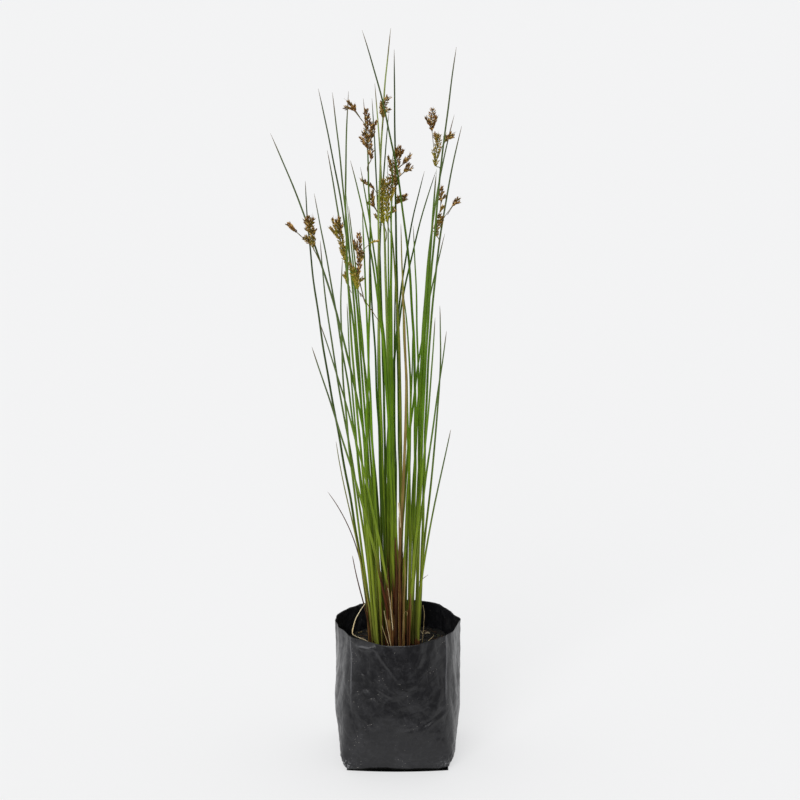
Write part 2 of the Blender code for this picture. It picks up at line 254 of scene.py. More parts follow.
def makeFilmMaterial():
    look = Look("blackFilm")
    where = look.place()
    crease = look.attribute("crease")
    broad = look.noise(where, 62.0, 3.0, 0.5, 0.4)
    fine = look.noise(where, 360.0, 4.0, 0.6)
    crinkle = look.cells(look.place((1.0, 1.0, 0.7)), 110.0, "DISTANCE_TO_EDGE")
    # greyer where worn and on the creases; the crease share also carries the painted highlights of the lip
    # and the base's corners
    worn = (crease * 0.75 + broad.step(0.50, 0.72) * 0.35 + crinkle.step(0.05, 0.0) * 0.12).clipped()
    film = look.mix(worn, filmFinish["black"], filmFinish["worn"])
    film = look.mix(crease.step(0.45, 1.0), film, filmFinish["stretchedAndHighlight"])
    film = look.mix(crease.step(1.05, 1.5), film, filmFinish["paintedCornerGlint"])
    # painted sheen in streaks where the film faces sideways
    streaks = look.noise(look.place((1.0, 1.0, 0.14)), 170.0, 3.0, 0.6)
    film = look.mix(look.attribute("side") * streaks.step(0.30, 0.78), film, filmFinish["paintedSideSheen"])
    mottle = look.noise(where, 150.0, 3.0, 0.6, 0.6)
    film = look.mix(mottle.step(0.50, 0.72) * 0.30, film, filmFinish["worn"])
    under = look.attribute("under")
    speck = look.cells(where, 520.0).step(0.16, 0.08)
    sparse = look.noise(where, 60.0, 2.0).step(0.54, 0.64)
    sparse = sparse * look.noise(where, 900.0, 1.0).step(0.46, 0.56)
    colour = look.mix(speck * sparse, film, filmFinish["dust"])
    # painted shade: below the hem the film turns near black
    colour = look.mix(under, colour, filmFinish["foot"])
    dull = mottle.step(0.46, 0.70) * 0.14 + speck * sparse * 0.3 + under * 0.4
    roughness = (0.21 + broad * 0.16 + fine * 0.12 + dull).clipped()
    height = broad * 1.1 + fine * 0.14 + crinkle.step(0.0, 0.18) * 0.16
    return look.finish(
        colour, roughness, height, bumpStrength=0.7, bumpDepth=0.0010, IOR=filmFinish["ior"]
    )


soilColours = {
    "wet": (0.0016, 0.0014, 0.0011),
    "damp": (0.0048, 0.0038, 0.0026),
    "drier": (0.017, 0.015, 0.007),
    "moss": (0.050, 0.062, 0.016),
    "darkBark": (0.045, 0.024, 0.011),
    "paleBark": (0.16, 0.10, 0.055),
}


def makeSoilMaterial():
    look = Look("dampSoil")
    where = look.place()
    tone = look.attribute("tone")
    grains = look.noise(where, 700.0, 5.0, 0.65)
    clods = look.noise(where, 150.0, 4.0, 0.6)
    earth = look.ramp(
        clods * 0.6 + grains * 0.4,
        (0.34, soilColours["wet"]), (0.54, soilColours["damp"]), (0.74, soilColours["drier"]),
    )
    mossy = tone.step(0.50, 0.54) * tone.step(0.66, 0.62) * grains.step(0.40, 0.56)
    earth = look.mix(mossy, earth, soilColours["moss"])
    bark = look.ramp(grains, (0.3, soilColours["darkBark"]), (0.7, soilColours["paleBark"]))
    colour = look.mix(tone.step(0.72, 0.98), earth, bark)
    return look.finish(colour, 0.82 + grains * 0.14, grains + clods, 0.8, 0.0006)


rushGreens = {
    "foot": (0.130, 0.122, 0.030),
    "low": (0.215, 0.275, 0.022),
    "middle": (0.150, 0.300, 0.012),
    "high": (0.138, 0.255, 0.014),
    "tip": (0.095, 0.125, 0.050),
    "yellow": (0.340, 0.420, 0.050),
    "browned": (0.032, 0.012, 0.003),
    "reddish": (0.120, 0.034, 0.011),
    "bleached": (0.112, 0.140, 0.070),  # stems that stand out in the open are greyer
    "dying": (0.360, 0.310, 0.070),
    "pale": (0.400, 0.480, 0.150),
    "dryTip": (0.16, 0.09, 0.04),
    "streak": (0.22, 0.29, 0.10),      # what the dark streaks and the painted shade on stems of low tone multiply by
}


def makeRushMaterial():
    look = Look("greenRush")
    lift = look.attribute("lift")
    share = look.attribute("share")
    tone = look.attribute("tone")
    streak = look.noise(look.onSurface((5.0, 26.0, 1.0)), 1.0, 4.0, 0.6)
    patch = look.noise(look.onSurface((1.0, 14.0, 1.0)), 1.0, 2.0)
    green = look.ramp(
        lift / 0.62 + (tone - 0.5) * 0.06 + (patch - 0.5) * 0.10,
        (0.00, rushGreens["foot"]),
        (0.13, rushGreens["low"]),
        (0.38, rushGreens["middle"]),
        (0.72, rushGreens["high"]),
        (1.00, rushGreens["tip"]),
    )
    green = look.mix(tone.step(0.60, 1.0) * 0.50 * (1.0 - share), green, rushGreens["yellow"])
    green = look.mix(look.attribute("bleached") * 0.80, green, rushGreens["bleached"])
    green = look.mix(look.attribute("pale") * 0.85, green, rushGreens["pale"])
    dying = look.attribute("dying") * (streak * 0.6 + 0.55)
    green = look.mix(dying.clipped(), green, rushGreens["dying"])
    darker = look.mix(1.0, green, rushGreens["streak"], "MULTIPLY")
    # painted shade: stems of low tone are darkened as a whole, as if they stood in the clump's shade,
    # besides the darker streaks
    shade = streak.step(0.44, 0.66) * 0.58 + tone.step(0.52, 0.12) * 0.72
    shade = shade + tone.step(0.14, 0.02) * 0.26
    green = look.mix(shade.clipped(), green, darker)
    brown = look.mix(streak.step(0.4, 0.62), rushGreens["browned"], rushGreens["reddish"])
    reach = look.attribute("browned") + (patch - 0.5) * 0.03 + (streak - 0.5) * 0.02
    colour = look.mix((reach - lift).step(-0.012, 0.03), green, brown)
    dryTip = (share + (tone - 0.5) * 0.03).step(0.955, 0.995) * 0.8
    colour = look.mix(dryTip, colour, rushGreens["dryTip"])
    ribs = look.node(
        "ShaderNodeTexWave", {"bands_direction": "X"}, output="Fac",
        Vector=look.onSurface((1.0, 1.0, 1.0)), Scale=4.0, Distortion=0.0,
    )
    return look.finish(
        colour, 0.44 + streak * 0.18, ribs * 0.7 + streak * 0.5, 0.55, 0.00012,
        Specular_IOR_Level=0.12,
    )


strawColours = {
    # by tone
    "stops": (
        (0.00, (0.016, 0.005, 0.002)),
        (0.28, (0.125, 0.048, 0.013)),
        (0.52, (0.330, 0.245, 0.070)),
        (0.78, (0.560, 0.430, 0.220)),
        (1.00, (0.740, 0.640, 0.440)),
    ),
    "streak": (0.45, 0.40, 0.36),
    "dampFoot": (0.05, 0.026, 0.012),
}


def makeDryMaterial():
    look = Look("dryStraw")
    tone = look.attribute("tone")
    lift = look.attribute("lift")
    streak = look.noise(look.onSurface((4.0, 40.0, 1.0)), 1.0, 4.0, 0.6)
    patch = look.noise(look.place(), 45.0, 3.0)
    straw = look.ramp(tone + (patch - 0.5) * 0.30, *strawColours["stops"])
    darker = look.mix(1.0, straw, strawColours["streak"], "MULTIPLY")
    colour = look.mix(streak.step(0.42, 0.70) * 0.6, straw, darker)
    colour = look.mix(lift.step(0.012, -0.004) * 0.6, colour, strawColours["dampFoot"])
    return look.finish(
        colour, 0.66 + streak * 0.2, streak, 0.6, 0.00015, Specular_IOR_Level=0.2
    )


flowerBrowns = {
    "oliveTwig": (0.170, 0.170, 0.035),
    "brownTwig": (0.10, 0.060, 0.022),
    "oliveFoot": (0.430, 0.430, 0.020),
    "brownFoot": (0.210, 0.098, 0.020),
    # dark florets: partly their own dark brown, partly painted shade among them
    "dark": (0.040, 0.015, 0.005),
    "golden": (0.740, 0.480, 0.170),
    "rusty": (0.215, 0.072, 0.013),
    "speckle": (0.55, 0.50, 0.45),
}


def makeFlowerMaterial():
    look = Look("brownFlower")
    along = look.attribute("floretShare")
    tone = look.attribute("tone")
    olive = look.attribute("olive")
    twig = look.attribute("twig")
    speckle = look.noise(look.place(), 1500.0, 3.0)
    foot = look.mix(olive, flowerBrowns["brownFoot"], flowerBrowns["oliveFoot"])
    body = look.mix(tone.step(0.36, 0.62), flowerBrowns["dark"], flowerBrowns["rusty"])
    body = look.mix(tone.step(0.78, 0.90), body, flowerBrowns["golden"])
    body = look.mix(olive * 0.80, body, flowerBrowns["oliveFoot"])
    colour = look.mix(along.step(0.05, 0.45), foot, body)
    # the florets' teeth turn golden towards their tips: partly their own pale edges, partly a painted
    # highlight
    edge = look.attribute("rib").step(0.20, 0.90) * along.step(0.35, 0.8)
    colour = look.mix(edge * (0.55 - olive * 0.35), colour, flowerBrowns["golden"])
    darker = look.mix(1.0, colour, flowerBrowns["speckle"], "MULTIPLY")
    colour = look.mix(speckle.step(0.45, 0.65) * 0.5, colour, darker)
    stalk = look.mix(olive, flowerBrowns["brownTwig"], flowerBrowns["oliveTwig"])
    colour = look.mix(twig, colour, stalk)
    return look.finish(
        colour, 0.58 + speckle * 0.2, speckle, 0.5, 0.00015, Specular_IOR_Level=0.18
    )


def makeFloor():
    look = Look("paleFloor")
    glow = look.node("ShaderNodeEmission", {}, Color=studio["floorColour"], Strength=1.0)
    look.surface.inputs["Roughness"].default_value = 0.9
    look.surface.inputs["Specular IOR Level"].default_value = 0.0
    # how far each place is from the bag's middle, by the larger of its two distances
    x, y = (look.node("ShaderNodeSeparateXYZ", {}, look.place(), output=k) for k in (0, 1))
    wide = x.math("ABSOLUTE", x) + studio["footprintNarrower"]
    deep = x * x * studio["footprintBow"] + x.math("ABSOLUTE", y)
    beyond = x.math("MAXIMUM", wide, deep)
    # painted shadow: inside this outline the floor's colour turns dark and its own glow is taken away
    clear = (beyond - studio["footprint"]).step(0.0, studio["footprintRim"])
    ground = look.mix(clear, studio["paintedShadowColour"], studio["floorColour"])
    look.fill(look.surface.inputs["Base Color"], ground)
    both = look.node(
        "ShaderNodeMixShader", {}, clear * studio["floorGlow"],
        Value(look, look.surface.outputs[0]), glow,
    )
    look.fill(look.tree.nodes["Material Output"].inputs["Surface"], both)
    half = studio["floorSize"] / 2
    front = -studio["floorFront"]
    mesh = bpy.data.meshes.new("floor")
    mesh.from_pydata(
        [(-half, front, 0), (half, front, 0), (half, half, 0), (-half, half, 0)], [], [(0, 1, 2, 3)]
    )
    mesh.materials.append(look.material)
    floor = bpy.data.objects.new("floor", mesh)
    bpy.context.scene.collection.objects.link(floor)


filmMaterial = makeFilmMaterial()
soilMaterial = makeSoilMaterial()
rushMaterial = makeRushMaterial()
dryMaterial = makeDryMaterial()
flowerMaterial = makeFlowerMaterial()
makeFloor()
print("materials ready")


# Shape helpers

def smoothStep(value, low, high):
    # 0 below low, 1 above high, 3tt - 2ttt between them
    t = np.clip((value - low) / (high - low), 0, 1)
    return t * t * (3 - 2 * t)


def throughRows(rows, at, column):
    # a cubic between each two rows, whose slope at a row comes from the rows beside it
    rows = np.asarray(rows, float)
    xs, ys = rows[:, 0], rows[:, column]
    slopes = np.gradient(ys, xs)
    low = np.clip(np.searchsorted(xs, at, side="right") - 1, 0, len(xs) - 2)
    wide = xs[low + 1] - xs[low]
    t = np.clip((at - xs[low]) / wide, 0, 1)
    start = (2 * t**3 - 3 * t**2 + 1) * ys[low] + (t**3 - 2 * t**2 + t) * wide * slopes[low]
    return start + (3 * t**2 - 2 * t**3) * ys[low + 1] + (t**3 - t**2) * wide * slopes[low + 1]


def curveThrough(points, count):
    # the same cubic through points in space, at even steps of their order
    points = np.asarray(points, float)
    rows = np.column_stack([np.arange(len(points)), points])
    at = np.linspace(0, len(points) - 1, count)
    return np.stack([throughRows(rows, at, k + 1) for k in range(points.shape[1])], axis=-1)


def waves(points, wavelength, seed, count=9):
    # a sum of sine waves in random directions, each about one wavelength long, over the root of
    # their number
    dice = np.random.default_rng(seed)
    ways = dice.normal(size=(count, points.shape[-1]))
    ways /= np.linalg.norm(ways, axis=1, keepdims=True)
    pace = fullTurn / (wavelength * dice.uniform(0.7, 1.4, count))
    phase = dice.uniform(0, fullTurn, count)
    return np.sin(points @ (ways * pace[:, None]).T + phase).sum(axis=-1) / math.sqrt(count)


def ridges(points, wavelength, seed):
    # waves folded at zero, which gives the sharp valleys and soft crests of crumpled film
    return np.sqrt(waves(points, wavelength, seed) ** 2 + 0.02) - 0.57


def unit(vectors):
    # each vector over its length
    return vectors / np.maximum(np.linalg.norm(vectors, axis=-1, keepdims=True), 1e-9)


def evenTurns(count):
    # angles in even steps round a full turn
    return np.arange(count) * fullTurn / count


def sideways(aim):
    # two directions square to each aim and to each other
    helper = np.where(np.abs(aim[..., :1]) > 0.8, (0.0, 1.0, 0.0), (1.0, 0.0, 0.0))
    across = unit(helper - (helper * aim).sum(axis=-1, keepdims=True) * aim)
    return across, np.cross(aim, across)


def tubeRings(path, radius, sides, flatness=1.0, roll=0.0):
    # a circle carried along each path, square to it: path is (copies, points, 3)
    aim = unit(np.gradient(path, axis=1))
    across, beyond = sideways(aim)
    turn = evenTurns(sides) + roll
    across, beyond = across[:, :, None], beyond[:, :, None]
    around = np.cos(turn)[:, None] * across + flatness * np.sin(turn)[:, None] * beyond
    return path[:, :, None] + np.asarray(radius)[..., None, None] * around


def lengthAlong(path):
    # the sum of the steps up to each point of a path
    steps = np.linalg.norm(np.diff(path, axis=-2), axis=-1)
    return np.concatenate([np.zeros((*steps.shape[:-1], 1)), np.cumsum(steps, axis=-1)], axis=-1)


def skin(rings, poles=None, along=None, **values):
    # closed skins: ring is joined to ring, and the first and last ring to a pole. rings is
    # (copies, rings, sides, 3), and a value is one number, a row with one for each ring, or an
    # array that fits (copies, rings, sides)
    copies, count, sides, _ = rings.shape
    if poles is None:
        poles = rings[:, [0, -1]].mean(axis=2)

    def withPoles(grid):
        if np.ndim(grid) == 1:
            grid = grid[:, None]
        grid = np.broadcast_to(grid, (copies, count, sides))
        ends = grid[:, [0, -1]].mean(axis=2)
        return np.concatenate([ends[:, :1], grid.reshape(copies, -1), ends[:, 1:]], axis=1).ravel()

    column = np.arange(sides)
    beside = (column + 1) % sides
    low = 1 + sides * np.arange(count - 1)[:, None]
    quads = np.stack([low + column, low + beside, low + sides + beside, low + sides + column], -1)
    last = 1 + sides * (count - 1)
    lowerFan = np.stack([0 * column, beside + 1, column + 1], -1)
    upperFan = np.stack([0 * column + last + sides, last + column, last + beside], -1)
    shift = (2 + sides * count) * np.arange(copies)[:, None, None]
    quadAcross = np.stack([column, column + 1, column + 1, column], -1) / sides
    fanAcross = np.stack([column + 0.5, column + 0.5, column + 0.5], -1) / sides
    if along is None:
        along = np.arange(count, dtype=float)[None] * np.ones((copies, 1))
    points = np.concatenate([poles[:, :1], rings.reshape(copies, -1, 3), poles[:, 1:]], axis=1)
    return {
        "points": points.reshape(-1, 3),
        "quads": (quads.reshape(1, -1, 4) + shift).reshape(-1, 4),
        "fans": (np.concatenate([lowerFan, upperFan])[None] + shift).reshape(-1, 3),
        "quadAcross": np.tile(quadAcross, (copies * (count - 1), 1)),
        "fanAcross": np.tile(fanAcross, (copies * 2, 1)),
        "along": withPoles(along[:, :, None]),
        "values": {name: withPoles(value) for name, value in values.items()},
    }


def tube(path, radius, sides, flatness=1.0, roll=0.0, **values):
    # a closed rod along one path, or one along each of several paths
    if path.ndim == 2:
        path, radius = path[None], radius[None]
    return skin(tubeRings(path, radius, sides, flatness, roll), along=lengthAlong(path), **values)


def makePiece(name, skins, material, slot, *nodes):
    # joins the skins in one mesh in metres, with the UV map and the point values, and puts it on
    # the root body
    counts = np.cumsum([0] + [len(s["points"]) for s in skins])
    points = np.concatenate([s["points"] for s in skins]) * mm
    quads = np.concatenate([s["quads"] + n for s, n in zip(skins, counts)])
    fans = np.concatenate([s["fans"] + n for s, n in zip(skins, counts)])
    mesh = bpy.data.meshes.new(name)
    mesh.from_pydata(points, [], quads.tolist() + fans.tolist())
    mesh.polygons.foreach_set("use_smooth", np.ones(len(mesh.polygons), bool))
    along = np.concatenate([s["along"] for s in skins])
    across = [s["quadAcross"].ravel() for s in skins] + [s["fanAcross"].ravel() for s in skins]
    corners = np.concatenate([quads.ravel(), fans.ravel()])
    layer = mesh.uv_layers.new(name="surface")
    uv = np.stack([np.concatenate(across), along[corners] * mm], -1)
    layer.data.foreach_set("uv", uv.ravel())
    for key in skins[0]["values"]:
        held = mesh.attributes.new(key, "FLOAT", "POINT")
        held.data.foreach_set("value", np.concatenate([s["values"][key] for s in skins]))
    mesh.materials.append(material)
    piece = bpy.data.objects.new(name, mesh)
    bpy.context.scene.collection.objects.link(piece)
    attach(piece, "root")
    for node in nodes:
        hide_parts(node)
    return piece


def nodeRings(node, sides=6):
    # the middle and the radius of each ring of a CAD rod, from its lowest to its highest
    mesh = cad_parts[node].data
    found = np.empty(len(mesh.vertices) * 3)
    mesh.vertices.foreach_get("co", found)
    points = np.unique(np.round(found.reshape(-1, 3) / mm, 3), axis=0)
    points = points[np.argsort(points[:, 2])].reshape(-1, sides, 3)
    middles = points.mean(axis=1)
    return middles, np.linalg.norm(points - middles[:, None], axis=-1).mean(axis=1)


# The planter bag: a lofted film shell

bag = {
    "columns": 420,
    "wallRows": 138,
    "film": 0.5,
    # height, half width, half depth, squareness
    "sections": (
        (0.0, 50.9, 49.6, 22.0),
        (3.0, 52.8, 50.6, 18.0),
        (6.0, 54.5, 51.4, 13.0),
        (12.0, 56.4, 52.8, 10.0),
        (20.0, 58.0, 54.6, 7.0),
        (32.0, 59.8, 56.6, 5.0),
        (50.0, 61.2, 58.8, 3.8),
        (72.0, 62.2, 60.6, 3.1),
        (100.0, 62.6, 61.8, 2.6),
        (142.0, 62.8, 62.4, 2.2),
    ),
    # round the rim: degrees from +X, distance from the axis, how far the stretch to the next
    # corner bulges from a straight line (0) to an arc (1), height
    "rim": (
        (0, 62.5, 0.30, 139.8),
        (45, 61.0, 0.85, 140.2),
        (90, 58.5, 0.85, 138.2),
        (131, 57.6, 0.60, 139.6),
        (176, 62.8, 0.65, 141.4),
        (221.8, 61.2, 0.80, 138.9),
        (270, 61.7, 0.95, 137.2),
        (319, 63.2, 0.65, 139.8),
    ),
    "rimReach": (58.0, 139.0),         # heights where the rim's own shape starts and is full
    # height, then x of the left and the right crease in front and of the two at the back
    "creases": (
        (0, -48.6, 48.2, -47.6, 48.0),
        (30, -45.6, 47.5, -46.0, 46.4),
        (75, -44.8, 47.3, -44.0, 45.0),
        (139, -44.8, 47.2, -37.8, 43.1),
    ),
    "creaseRise": 1.0,
    "creaseWidth": 0.9,
    "hemHeight": 3.9,
    "undercut": (3.0, 2.4),            # below this height the film is drawn in by this much
    "clipped": (12, 40, 49, 1.9),      # right front corner: up to this height, from x to x, by this
    "tuck": 0.8,                       # how far the base corners are folded in
    "tuckHeight": 9.0,
    # folds on the front: x, z of each end, width, depth
    "folds": (
        (-22.0, 131.0, -1.0, 101.0, 3.0, 1.5),
        (-20.0, 89.5, -8.6, 82.5, 2.2, 1.5),
        (46.0, 64.0, 26.0, 50.0, 2.8, 1.2),
        (7.0, 47.0, 19.0, 49.5, 2.0, 1.1),
        (0.6, 106.0, 0.6, 12.0, 1.3, 0.35),
        (-33.0, 57.0, -25.0, 47.0, 2.2, 0.9),
        (30.0, 118.0, 12.0, 96.0, 4.2, 0.8),
        (-30.0, 112.0, -26.0, 88.0, 4.0, 0.7),
        (42.0, 88.0, 33.0, 62.0, 4.0, 0.9),
        (-52.0, 92.0, -31.0, 36.0, 4.4, 0.9),
    ),
    "lip": (-31.0, 133.2, 8.5, 3.2, 3.4),  # x, z, half width, half height, rise of the rolled lip
}


def sharpRim(turn):
    # straight lines between the corners, where 1/r runs as a sine of the angle, mixed with arcs
    corners = np.asarray(bag["rim"], float)
    corners = np.vstack([corners, corners[0] + (360, 0, 0, 0)])
    at = np.radians(corners[:, 0])
    turn = np.mod(turn, fullTurn)
    low = np.clip(np.searchsorted(at, turn, side="right") - 1, 0, len(at) - 2)
    before, after = turn - at[low], at[low + 1] - turn
    near, far = corners[low, 1], corners[low + 1, 1]
    straight = np.sin(before + after) / (np.sin(after) / near + np.sin(before) / far)
    arc = near + (far - near) * before / (before + after)
    bulge = corners[low, 2]
    return straight * (1 - bulge) + arc * bulge


def rimRadius(turn):
    # the rim with its corners rounded, as the mean of a few turns to each side
    return np.mean([sharpRim(turn + math.radians(aside)) for aside in (-6, -3, 0, 3, 6)], axis=0)


def rimHeight(turn):
    # the cubic through the rim's corner heights, which goes on past a full turn at both ends
    corners = np.asarray(bag["rim"], float)
    rows = np.vstack([corners[-2:] - (360, 0, 0, 0), corners, corners[:2] + (360, 0, 0, 0)])
    return throughRows(rows, np.degrees(np.mod(turn, fullTurn)), 3)


def wallRadius(turn, height):
    # a rounded square, (|cos|/width)^n + (|sin|/depth)^n to the power -1/n, that runs into the
    # rim's own shape towards the top
    width, depth, n = (throughRows(bag["sections"], height, k) for k in (1, 2, 3))
    square = ((np.abs(np.cos(turn)) / width) ** n + (np.abs(np.sin(turn)) / depth) ** n) ** (-1 / n)
    share = smoothStep(height, *bag["rimReach"]) ** 1.5
    return square * (1 - share) + rimRadius(turn) * share


def creaseMask(x, y, z):
    # 1 on each corner crease, falling off over a short way to its sides
    lines = [throughRows(bag["creases"], z, k) for k in (1, 2, 3, 4)]
    front = np.minimum(np.abs(x - lines[0]), np.abs(x - lines[1]))
    back = np.minimum(np.abs(x - lines[2]), np.abs(x - lines[3]))
    return np.exp(-np.where(y < 0, front, back) / bag["creaseWidth"])


def cornerMask(turn, reach):
    # 1 at the four corners, 0 more than the reach in degrees away
    away = np.abs(np.mod(np.degrees(turn), 90) - 44)
    return smoothStep(away, reach, 0)


def foldShape(x, z, front):
    # each fold is a step across a line: up on one side, down on the other, fading at its ends
    total = np.zeros(np.broadcast(x, z).shape)
    for x0, z0, x1, z1, width, depth in bag["folds"]:
        run = math.hypot(x1 - x0, z1 - z0)
        alongX, alongZ = (x1 - x0) / run, (z1 - z0) / run
        place = (x - x0) * alongX + (z - z0) * alongZ
        away = ((x - x0) * -alongZ + (z - z0) * alongX) / width
        fade = smoothStep(place, -0.3 * run, 0.2 * run) * smoothStep(place, 1.3 * run, 0.8 * run)
        total += depth * fade * away * np.exp(-away * away)
    return total * front


def filmSurface(turn, height):
    # the film's outer face, with its creases, folds and crinkles, as points and crease share
    radius = wallRadius(turn, height)
    flat = np.stack(np.broadcast_arrays(radius * np.cos(turn), radius * np.sin(turn), height), -1)
    x, y, z = flat[..., 0], flat[..., 1], flat[..., 2]
    front = smoothStep(-y, 10, 40)
    back = smoothStep(y, 10, 40)
    side = smoothStep(np.abs(x), 44, 54)
    low = smoothStep(z, 70, 10)
    high = smoothStep(z, 96, 136)
    crease = creaseMask(x, y, z) * (smoothStep(z, 56, 92) + 0.7 * smoothStep(z, 22, 8))
    raised = crease * bag["creaseRise"]
    # painted glints: pale specks on the crinkles of the base's corners, carried in the crease share
    cornerGlintSpots = smoothStep(np.abs(waves(flat, 5, 15)), 0.22, 0.06) * smoothStep(z, 17, 8)
    crease = np.maximum(crease, 1.5 * cornerGlintSpots * cornerMask(turn, 16) * smoothStep(z, 1, 4))
    bulk = 0.75 * waves(flat, 46, 11) + 0.62 * ridges(flat, 27, 12) + 0.17 * ridges(flat, 12, 13)
    streaks = side * 0.55 * waves(flat * (1, 1, 0.12), 11, 14) * (0.5 + 0.5 * high)
    wrinkles = cornerMask(turn, 20) * smoothStep(z, 26, 5) * 0.9 * ridges(flat, 6.5, 15)
    wavyRim = high * (0.4 * waves(flat * (1, 1, 0.3), 19, 16) + 0.2 * ridges(flat * (1, 1, 0.5), 12, 17))
    lipX, lipZ, lipWide, lipTall, lipRise = bag["lip"]
    # the lip bulges out and its edge leans back in, so it faces up a little
    lip = np.exp(-((z - lipZ) / lipTall) ** 2) - 0.5 * smoothStep(z, lipZ, lipZ + 7)
    lip = front * lipRise * lip * np.exp(-((x - lipX) / lipWide) ** 4)
    # a painted highlight under the rolled lip, carried in the crease share to the lighter film colour
    shine = np.exp(-((z - lipZ) / (0.5 * lipTall)) ** 2) * np.exp(-((x - lipX) / (0.8 * lipWide)) ** 4)
    crease = np.maximum(crease, 0.95 * front * shine)
    hem = 0.7 * np.exp(-((z - bag["hemHeight"]) / 1.2) ** 2)
    cutHeight, cutDepth = bag["undercut"]
    hem = hem - cutDepth * np.clip(1 - z / cutHeight, 0, 1)
    clipTop, clipFrom, clipTo, clipDepth = bag["clipped"]
    clip = -clipDepth * smoothStep(z, clipTop, 1) * smoothStep(x, clipFrom, clipTo) * front
    tuck = -bag["tuck"] * cornerMask(turn, 12) * smoothStep(z, bag["tuckHeight"], 1)
    seam = -0.35 * back * np.exp(-(np.abs(x) / 1.2))
    folds = foldShape(x, z, front) + 0.5 * foldShape(-x, z * 0.92 + 6, back)
    grow = (
        bulk * (1 - 0.2 * low) + 0.25 * low * ridges(flat, 9, 18) + streaks + wrinkles + wavyRim
        + lip + hem + clip + tuck + seam + raised + folds
    )
    out = radius + grow
    points = np.stack(np.broadcast_arrays(out * np.cos(turn), out * np.sin(turn), height), -1)
    return points, crease


def bagColumns():
    # even angles, gathered towards the four corners
    even = evenTurns(bag["columns"])
    return even + 0.10 * np.sin(4 * even)


def makeBag():
    # one closed skin: out along the base, up the outer face, over the edge, down the inner face
    turn = bagColumns()[None]
    rise = np.linspace(0, 1, bag["wallRows"])[:, None]
    rim = rimHeight(turn)
    height = rise * rim + 0 * turn
    outer, crease = filmSurface(turn, height)
    outer[..., 2] = height
    inwards = -unit(outer * (1, 1, 0))
    # the inner face follows the outer one down to the soil, and stands well clear of it below
    innerHeights = np.concatenate([np.linspace(0.995, 0.70, 36), [0.62, 0.4, 0.15, 0.03]])[:, None]
    gap = np.interp(innerHeights, [0.62, 0.70], [3.0, bag["film"]])
    innerHeight = innerHeights * rim
    inner, innerCrease = filmSurface(turn, innerHeight)
    inner[..., 2] = innerHeight
    inner = inner - unit(inner * (1, 1, 0)) * gap[..., None]
    edge = outer[-1:] + inwards[-1:] * (0.5 * bag["film"]) + (0, 0, 0.25)
    shares = np.array([0.25, 0.55, 0.8, 0.93])[:, None, None]
    baseOut = outer[:1] * (1, 1, 0) * shares
    baseIn = inner[-1:] * (1, 1, 0) * shares[::-1] + (0, 0, 1.2)
    rings = np.concatenate([baseOut, outer, edge, inner, baseIn])[None]
    none = np.zeros(baseOut.shape[:2])
    creases = np.concatenate([none, crease, crease[-1:], innerCrease * 0.3, none])[None]
    # how much of each point faces sideways, less towards the ground, for the painted sheen, and what lies
    # below the hem, for the painted shade
    x, z = rings[..., 0], rings[..., 2]
    side = smoothStep(np.abs(x), 46, 60) * smoothStep(z, 5, 100)
    side[:, len(baseOut) + len(outer):] = 0  # the inner face gets no painted sheen
    under = np.clip((bag["undercut"][0] + 0.4 - z) / 0.9, 0, 1)
    poles = np.array([[(0.0, 0.0, 0.0), (0.0, 0.0, 1.2)]])
    film = skin(rings, poles, crease=creases, side=side, under=under)
    makePiece("plantBagFilm", [film], filmMaterial, "film", "planter_bag")


makeBag()
print("bag film made")


# The soil: a crumbly top and a plain fill below it

soil = {
    "top": 110.0,
    "crown": 2.5,
    "rings": 70,
    "columns": 260,
    "gap": 0.7,
    # the fill below the top: height, and how far it stands in from the bag's wall
    "fill": ((4.5, 5.0), (12.0, 4.4), (44.0, 4.4), (84.0, 4.4), (100.0, 1.4)),
    "crumbs": 1100,
    "crumbSize": (0.5, 1.9),
    "chips": 60,
    "chipSize": (1.2, 2.6),
    "fibres": 110,
    "fibreHalf": (2.0, 7.5),           # half their length
    "fibreRadius": (0.12, 0.32),
    "fibreReach": 54.0,                # how far from the middle they may end
    "seed": 40,
}


def liftOf(height):
    # metres above the soil's top, by which the materials change
    return (height - soil["top"]) * mm


def soilHeight(x, y):
    # crowned towards the clump, gently uneven, and crumbled by folded waves
    reach = np.hypot(x, y) / bag["sections"][-1][1]
    places = np.stack([x, y], -1)
    ripple = 0.9 * np.sin(x / 9 + 0.6) * np.sin(y / 11 + 1.1)
    crumble = 0.75 * ridges(places, 7.5, 41) + 0.45 * ridges(places, 3.4, 42)
    return soil["top"] + soil["crown"] * (1 - reach**2) + ripple + crumble


def soilEdge(turn):
    # the film's inner face at the soil's top, less a small gap
    points, _ = filmSurface(turn[None], np.full((1, len(turn)), soil["top"]))
    return np.hypot(points[0, :, 0], points[0, :, 1]) - bag["film"] - soil["gap"]


def makeSoil():
    # rings of the bag's wall less an inset, then the soil's height on shrinking rings
    turn = evenTurns(soil["columns"])
    edge = soilEdge(turn)
    ways = np.stack([np.cos(turn), np.sin(turn)], -1)
    shares = np.linspace(1.0, 0.02, soil["rings"])[:, None]
    x, y = shares * edge * ways[:, 0], shares * edge * ways[:, 1]
    top = np.stack([x, y, soilHeight(x, y)], -1)
    sides = []
    for height, inset in soil["fill"]:
        radius = wallRadius(turn, np.full(len(turn), height)) - inset - bag["film"]
        sides.append(np.column_stack([radius[:, None] * ways, np.full(len(turn), height)]))
    rings = np.concatenate([np.stack(sides), top])[None]
    makePiece("soilBed", [skin(rings, tone=0.2)], soilMaterial, "soil", "potting_soil")


